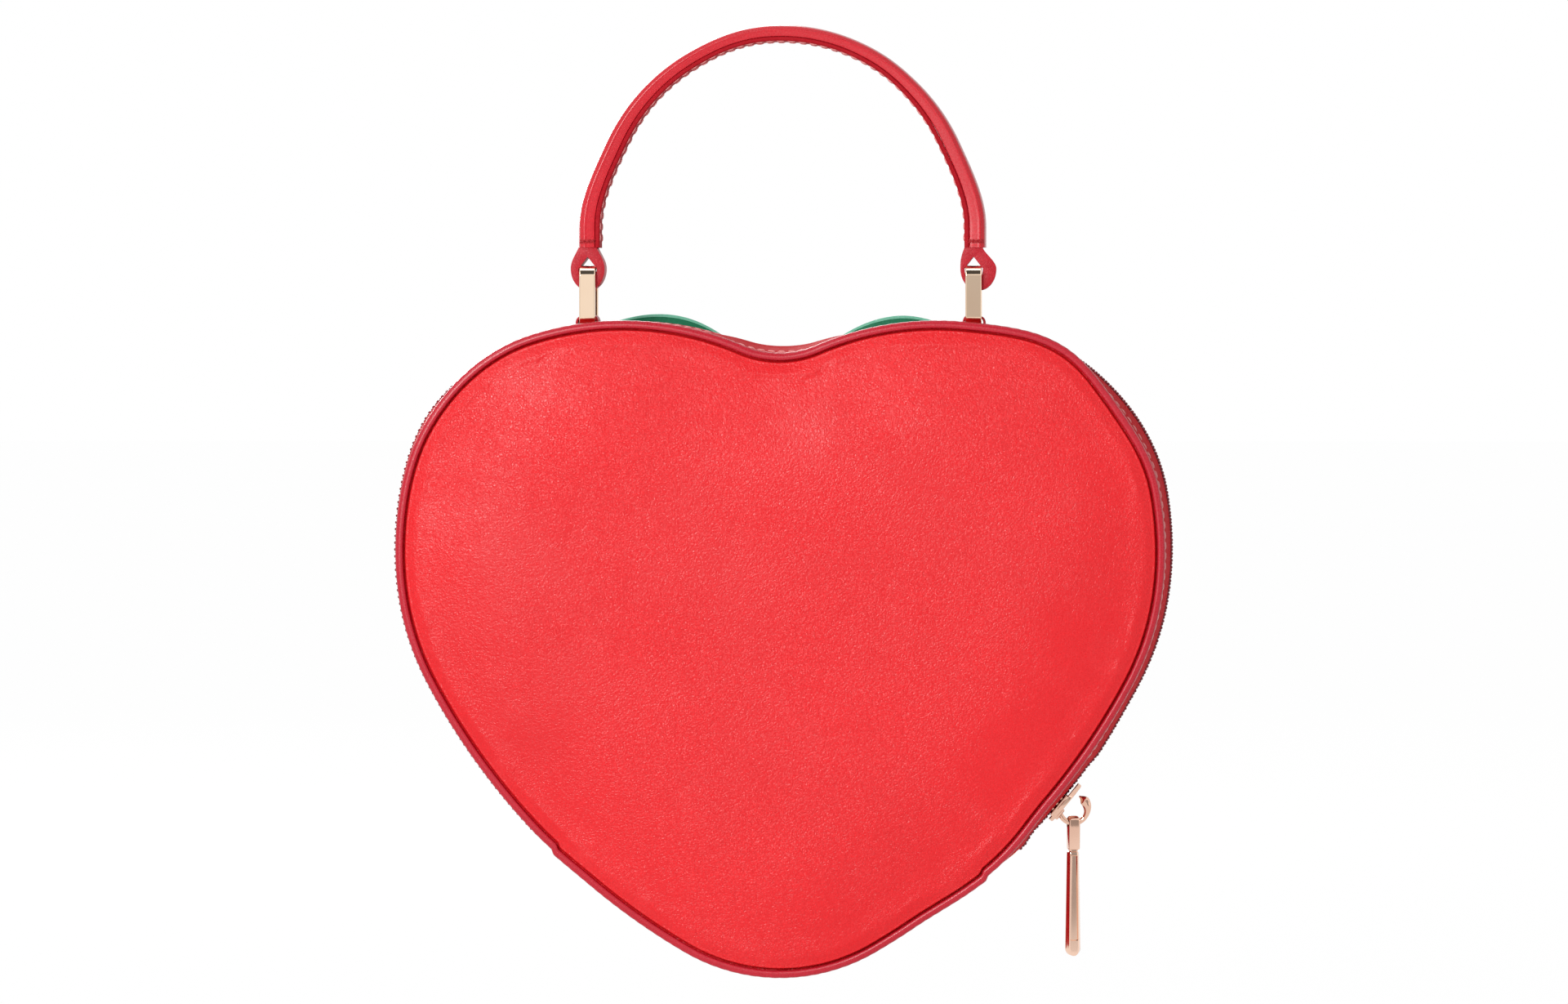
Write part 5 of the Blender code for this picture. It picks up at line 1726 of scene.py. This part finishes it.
def makeLeaf(name, size, side, node):
    columns, rows = leaves["columns"], len(leaves["across"]) - 1

    def halfAt(along):
        return size[2] * max(sin(pi * along), 0.0) ** size[4 if along < 0.5 else 5] + 0.25 * mm

    def place(column, row):
        along = 0.02 + 0.97 * column / columns
        half = halfAt(along)
        across = leaves["across"][row]
        flat = leafSpot(size, side, along, half * across)
        reach = frontDepth(flat.x, flat.y) + leaves["stand"]
        narrow = half / size[2]
        middle = max(0.0, 1.0 - abs(across) * 7.0 * narrow)
        slant = (along * 9.0 + abs(across) * 0.9) % 1.0
        branch = max(0.0, 1.0 - abs(slant - 0.5) * 7.0) * smoothStep(abs(across) / 0.25)
        branch *= (1.0 - abs(across)) * 2.0
        reach += leafRise(along, across, narrow) - leaves["vein"] * (middle + branch * 0.45) * narrow
        return Vector((flat.x, reach, flat.y))

    obj = layGrid(name, columns, rows, place)
    faceAwayFrom(obj, Vector((0, -0.3, calyxHeight)))
    modify(obj, "SOLIDIFY", thickness=leaves["thick"] * 0.8, offset=0.0)
    smoothen(obj, 1)
    finishPiece(obj, name, "bag_front", greenLeather, (node,), 60)
    obj.data.materials.append(leafEdgeHighlight)
    # painted highlight: the leather's cut edge is coloured paler, and this shows a little on both faces
    spots = obj.data.uv_layers.active.data
    edgeMap = {spot.vertex_index: spots[index].uv[1] for index, spot in enumerate(obj.data.loops)}
    for face in obj.data.polygons:
        fromEdge = min(min(edgeMap[v], 1.0 - edgeMap[v]) for v in face.vertices)
        if fromEdge < 0.06 or abs(face.normal.y) < 0.4:
            face.material_index = 1
    frames = []
    count = round(size[1] * 1.05 / leaves["pitch"])
    for edge in (-1, 1):
        for step in range(count):
            along = 0.06 + 0.88 * (step + 0.5) / count
            spots = []
            for shift in (-0.01, 0.01):
                half = halfAt(along + shift)
                inner = max(half - leaves["stitchInset"], 0.0) * edge
                flat = leafSpot(size, side, along + shift, inner)
                reach = frontDepth(flat.x, flat.y) + leaves["stand"] + leaves["thick"] * 0.4
                reach += leafRise(along + shift, inner / half, half / size[2])
                spots.append(Vector((flat.x, reach, flat.y)))
            if half < leaves["stitchLeast"]:
                continue
            ahead = (spots[1] - spots[0]).normalized()
            out = (Vector((0, 1, 0)) - ahead * ahead.y).normalized()
            frames.append(frameOf((spots[0] + spots[1]) / 2, ahead, out.cross(ahead), out))
    sewRow(name + "_stitches", "bag_front", greenThread, frames, 2.3 * mm, 0.42 * mm)


for hand, side in (("left", -1), ("right", 1)):
    makeLeaf("upper_leaf_" + hand, leaves["sizes"]["upper" + hand.title()], side, "leaf_upper_" + hand)
    makeLeaf("lower_leaf_" + hand, leaves["sizes"]["lower"], side, "leaf_lower_" + hand)
makeLeaf("middle_leaf", leaves["sizes"]["middle"], 1, "leaf_middle")
print("leaves laid")


def domeFrame(x, z, step):
    slopeX = (frontDepth(x + step, z) - frontDepth(x - step, z)) / (2 * step)
    slopeZ = (frontDepth(x, z + step) - frontDepth(x, z - step)) / (2 * step)
    out = Vector((-slopeX, 1.0, -slopeZ)).normalized()
    up = (Vector((0, 0, 1)) - out * out.z).normalized()
    return frameOf(Vector((x, frontDepth(x, z), z)), up.cross(out), up, out)


boss = {
    # mm: radius and height, from the foot over the crown to the hollow
    "profile": (
        (7.9, 0.0), (8.2, 0.35), (8.15, 0.9), (7.6, 1.5), (6.6, 1.95),
        (5.4, 2.2), (4.2, 2.05), (3.0, 1.75), (1.8, 1.6), (0.8, 1.55),
    ),
    "corners": 40,
    "sink": 0.9 * mm,
    "stitches": 14,
    "stitchRadius": 6.2 * mm,
    "stitchHeight": 2.08 * mm,
}


def makeBoss():
    # a round leather button with a sewn hollow, square to the dome
    low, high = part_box("calyx_hub")
    middle = (low + high) / 2
    spot = domeFrame(0.0, calyxHeight, boss["profile"][1][0] * mm)
    out = spot.col[2].xyz
    base = middle - out * boss["sink"]
    turns = [tau * k / boss["corners"] for k in range(boss["corners"])]
    rows = [
        [Vector((radius * mm * cos(turn), radius * mm * sin(turn), up * mm)) for turn in turns]
        for radius, up in boss["profile"]
    ]
    obj = layRows("leaf_boss", rows)
    matrix = frameOf(base, spot.col[0].xyz, spot.col[1].xyz, out)
    obj.data.transform(matrix)
    finishPiece(obj, "leaf_boss", "bag_front", greenLeather, ("calyx_hub",), 60)
    frames = []
    for k in range(boss["stitches"]):
        angle = tau * (k + 0.5) / boss["stitches"]
        away, up = Vector((cos(angle), sin(angle), 0)), Vector((0, 0, 1))
        place = away * boss["stitchRadius"] + up * boss["stitchHeight"]
        frames.append(matrix @ frameOf(place, Vector((-away.y, away.x, 0)), -away, up))
    sewRow("leaf_boss_stitches", "bag_front", greenThread, frames, 1.9 * mm, 0.42 * mm)


makeBoss()

seeds = {
    "halfWidth": 1.95 * mm,
    "halfLength": 3.15 * mm,
    "height": 1.55 * mm,
    "taper": 0.38,
    "sink": 0.1 * mm,
    "rows": (
        (88.0, (66.0,)), (70.0, (0.0, 42.0)), (50.0, (21.0, 58.0)), (30.0, (0.0, 34.0)), (13.0, (11.0,)),
    ),
}


def seedPattern():
    # a polished half drop with a soft ridge
    freshStart()
    bpy.ops.mesh.primitive_uv_sphere_add(segments=28, ring_count=14, radius=1.0)
    obj = bpy.context.object
    editAll(obj)
    bpy.ops.mesh.bisect(plane_co=(0, 0, -0.12), plane_no=(0, 0, 1), use_fill=True, clear_inner=True)
    done()
    for vertex in obj.data.vertices:
        x, y, z = vertex.co
        taper = 1.0 - seeds["taper"] * y
        crest = 1.0 + 0.12 * max(0.0, 1.0 - abs(x) * 3.0) * max(z, 0.0)
        vertex.co = (
            x * seeds["halfWidth"] * taper,
            y * seeds["halfLength"],
            (z * crest * seeds["height"]) if z > 0.0 else z * seeds["height"],
        )
    return faceOut(obj)


def makeSeeds():
    pattern = seedPattern()
    count = 0
    for height, spots in seeds["rows"]:
        for x in [-spot for spot in reversed(spots) if spot > 0.0] + list(spots):
            count += 1
            takeUp(pattern)
            bpy.ops.object.duplicate()
            obj = bpy.context.object
            matrix = domeFrame(x * mm, height * mm - heart["drop"], seeds["halfLength"])
            matrix.translation -= matrix.col[2].xyz * seeds["sink"]
            obj.data.transform(matrix)
            name = f"gold_seed_{count:02d}"
            finishPiece(obj, name, "bag_front", paleGold, (f"seed_{count:02d}",), 60)
    bpy.data.objects.remove(pattern, do_unlink=True)


makeSeeds()
print("boss and seeds set")


# Studio and camera

studio = {
    "floor": -0.30,
    "paper": (0.86, 0.86, 0.86, 1.0),
    "paperRoughness": 0.9,
    "paperGlow": 0.985,  # how white it looks; the rest is its own shade and shadow
    "light": (-0.55, -0.45, 0.35),  # where the soft light comes from
    "ambient": 0.36,
    "spread": 0.32,
    "azimuth": 2.0,
    "elevation": 1.2,
    "distance": 2.0,
    "lens": 175.6,
    "target": (1.15 * mm, -11.0 * mm, -120.7 * mm),
    "lamps": (  # name, place, size, power
        ("keyLight", (-1.1, -1.5, 1.0), (0.6, 0.6), 5.5),
        ("sheenLight", (-0.46, -1.7, 0.24), (0.3, 0.3), 12.0),
        ("fillLight", (1.3, -1.7, 0.0), (1.2, 1.6), 3.0),
        ("topLight", (-0.15, -0.35, 1.6), (1.0, 0.7), 3.0),
        ("frontLight", (-0.6, 2.0, 0.8), (1.2, 1.2), 18.0),
        ("frontSheen", (-0.45, 1.7, 0.15), (0.3, 0.3), 5.0),
    ),
    "cards": (  # name, place, size, level
        ("cameraCard", (0.27, -2.15, -0.1), (0.66, 0.8), 0.62),
        ("pullCard", (0.42, -0.75, -0.15), (0.34, 0.5), 0.42),
        ("topCard", (0.0, -0.6, 0.5), (0.5, 0.7), 0.08),
        ("sideCard", (-0.9, -0.75, -0.05), (0.3, 0.9), 0.2),
    ),
}


def aimedAt(obj, target):
    direction = Vector(target) - obj.location
    obj.rotation_euler = direction.to_track_quat("-Z", "Y").to_euler()


def softLight(name, place, size, power):
    lamp = bpy.data.lights.new(name, "AREA")
    lamp.shape = "RECTANGLE"
    lamp.size, lamp.size_y = size
    lamp.energy = power
    obj = bpy.data.objects.new(name, lamp)
    bpy.context.scene.collection.objects.link(obj)
    obj.location = place
    obj.visible_camera = False
    aimedAt(obj, studio["target"])


def greyCard(name, place, size, level):
    # stands round the bag for the metal to mirror; nothing else sees it
    freshStart()
    bpy.ops.mesh.primitive_plane_add(size=1.0)
    card = bpy.context.object
    card.name = name
    card.data.transform(Matrix.Diagonal((size[0], size[1], 1.0, 1.0)))
    card.location = place
    aimedAt(card, studio["target"])
    material, _, wire = newLook(name)
    glow = wire.node("ShaderNodeEmission", None, {"Strength": level})
    glow.into(wire.tree.nodes["Material Output"], "Surface")
    card.data.materials.append(material)
    card.visible_camera = card.visible_diffuse = card.visible_shadow = False


def plainSight(wire):
    # 1 for camera, mirrored and transmitted rays and 0 for the rest
    rays = [wire.node("ShaderNodeLightPath", output=output) for output in (0, 3, 6)]
    return wire.maths("MAXIMUM", wire.maths("MAXIMUM", rays[0], rays[1]), rays[2])


def makeWorld():
    # white in plain sight; as light, a soft studio that is brighter towards the upper left
    world = bpy.data.worlds.new("studioWorld")
    bpy.context.scene.world = world
    world.use_nodes = True
    wire = Wire(world.node_tree)
    sky = world.node_tree.nodes["Background"]
    toward = wire.node("ShaderNodeTexCoord")
    unit = Vector(studio["light"]).normalized()
    bright = wire.node(
        "ShaderNodeVectorMath", {"operation": "DOT_PRODUCT"}, {0: toward, 1: tuple(unit)}, output=1
    )
    level = bright * studio["spread"] + studio["ambient"]
    sky.inputs["Color"].default_value = (1, 1, 1, 1)
    (level + (1.0 - level) * plainSight(wire)).into(sky, "Strength")


def makeFloor():
    freshStart()
    bpy.ops.mesh.primitive_plane_add(size=30.0, location=(0, 0, studio["floor"]))
    ground = bpy.context.object
    ground.name = "studio_floor"
    material, shader, wire = newLook("floorPaper")
    setShader(shader, **{"Base Color": studio["paper"], "Roughness": studio["paperRoughness"]})
    paper, glow = Wire(wire.tree, shader.outputs[0]), wire.node("ShaderNodeEmission")
    white = plainSight(wire) * studio["paperGlow"]
    mix = wire.node("ShaderNodeMixShader", None, {0: white, 1: paper, 2: glow})
    mix.into(wire.tree.nodes["Material Output"], "Surface")
    ground.data.materials.append(material)


def makeCamera():
    data = bpy.data.cameras.new("photoCamera")
    data.lens = studio["lens"]
    data.sensor_width = 36.0
    data.clip_start = 0.01
    camera = bpy.data.objects.new("photoCamera", data)
    bpy.context.scene.collection.objects.link(camera)
    azimuth, elevation = radians(studio["azimuth"]), radians(studio["elevation"])
    away = Vector((sin(azimuth) * cos(elevation), -cos(azimuth) * cos(elevation), sin(elevation)))
    camera.location = Vector(studio["target"]) + away * studio["distance"]
    aimedAt(camera, studio["target"])
    bpy.context.scene.camera = camera


makeWorld()
for lamp in studio["lamps"]:
    softLight(*lamp)
for card in studio["cards"]:
    greyCard(*card)
makeFloor()
makeCamera()
bpy.context.scene.view_settings.view_transform = "Standard"
freshStart()
print("studio ready")
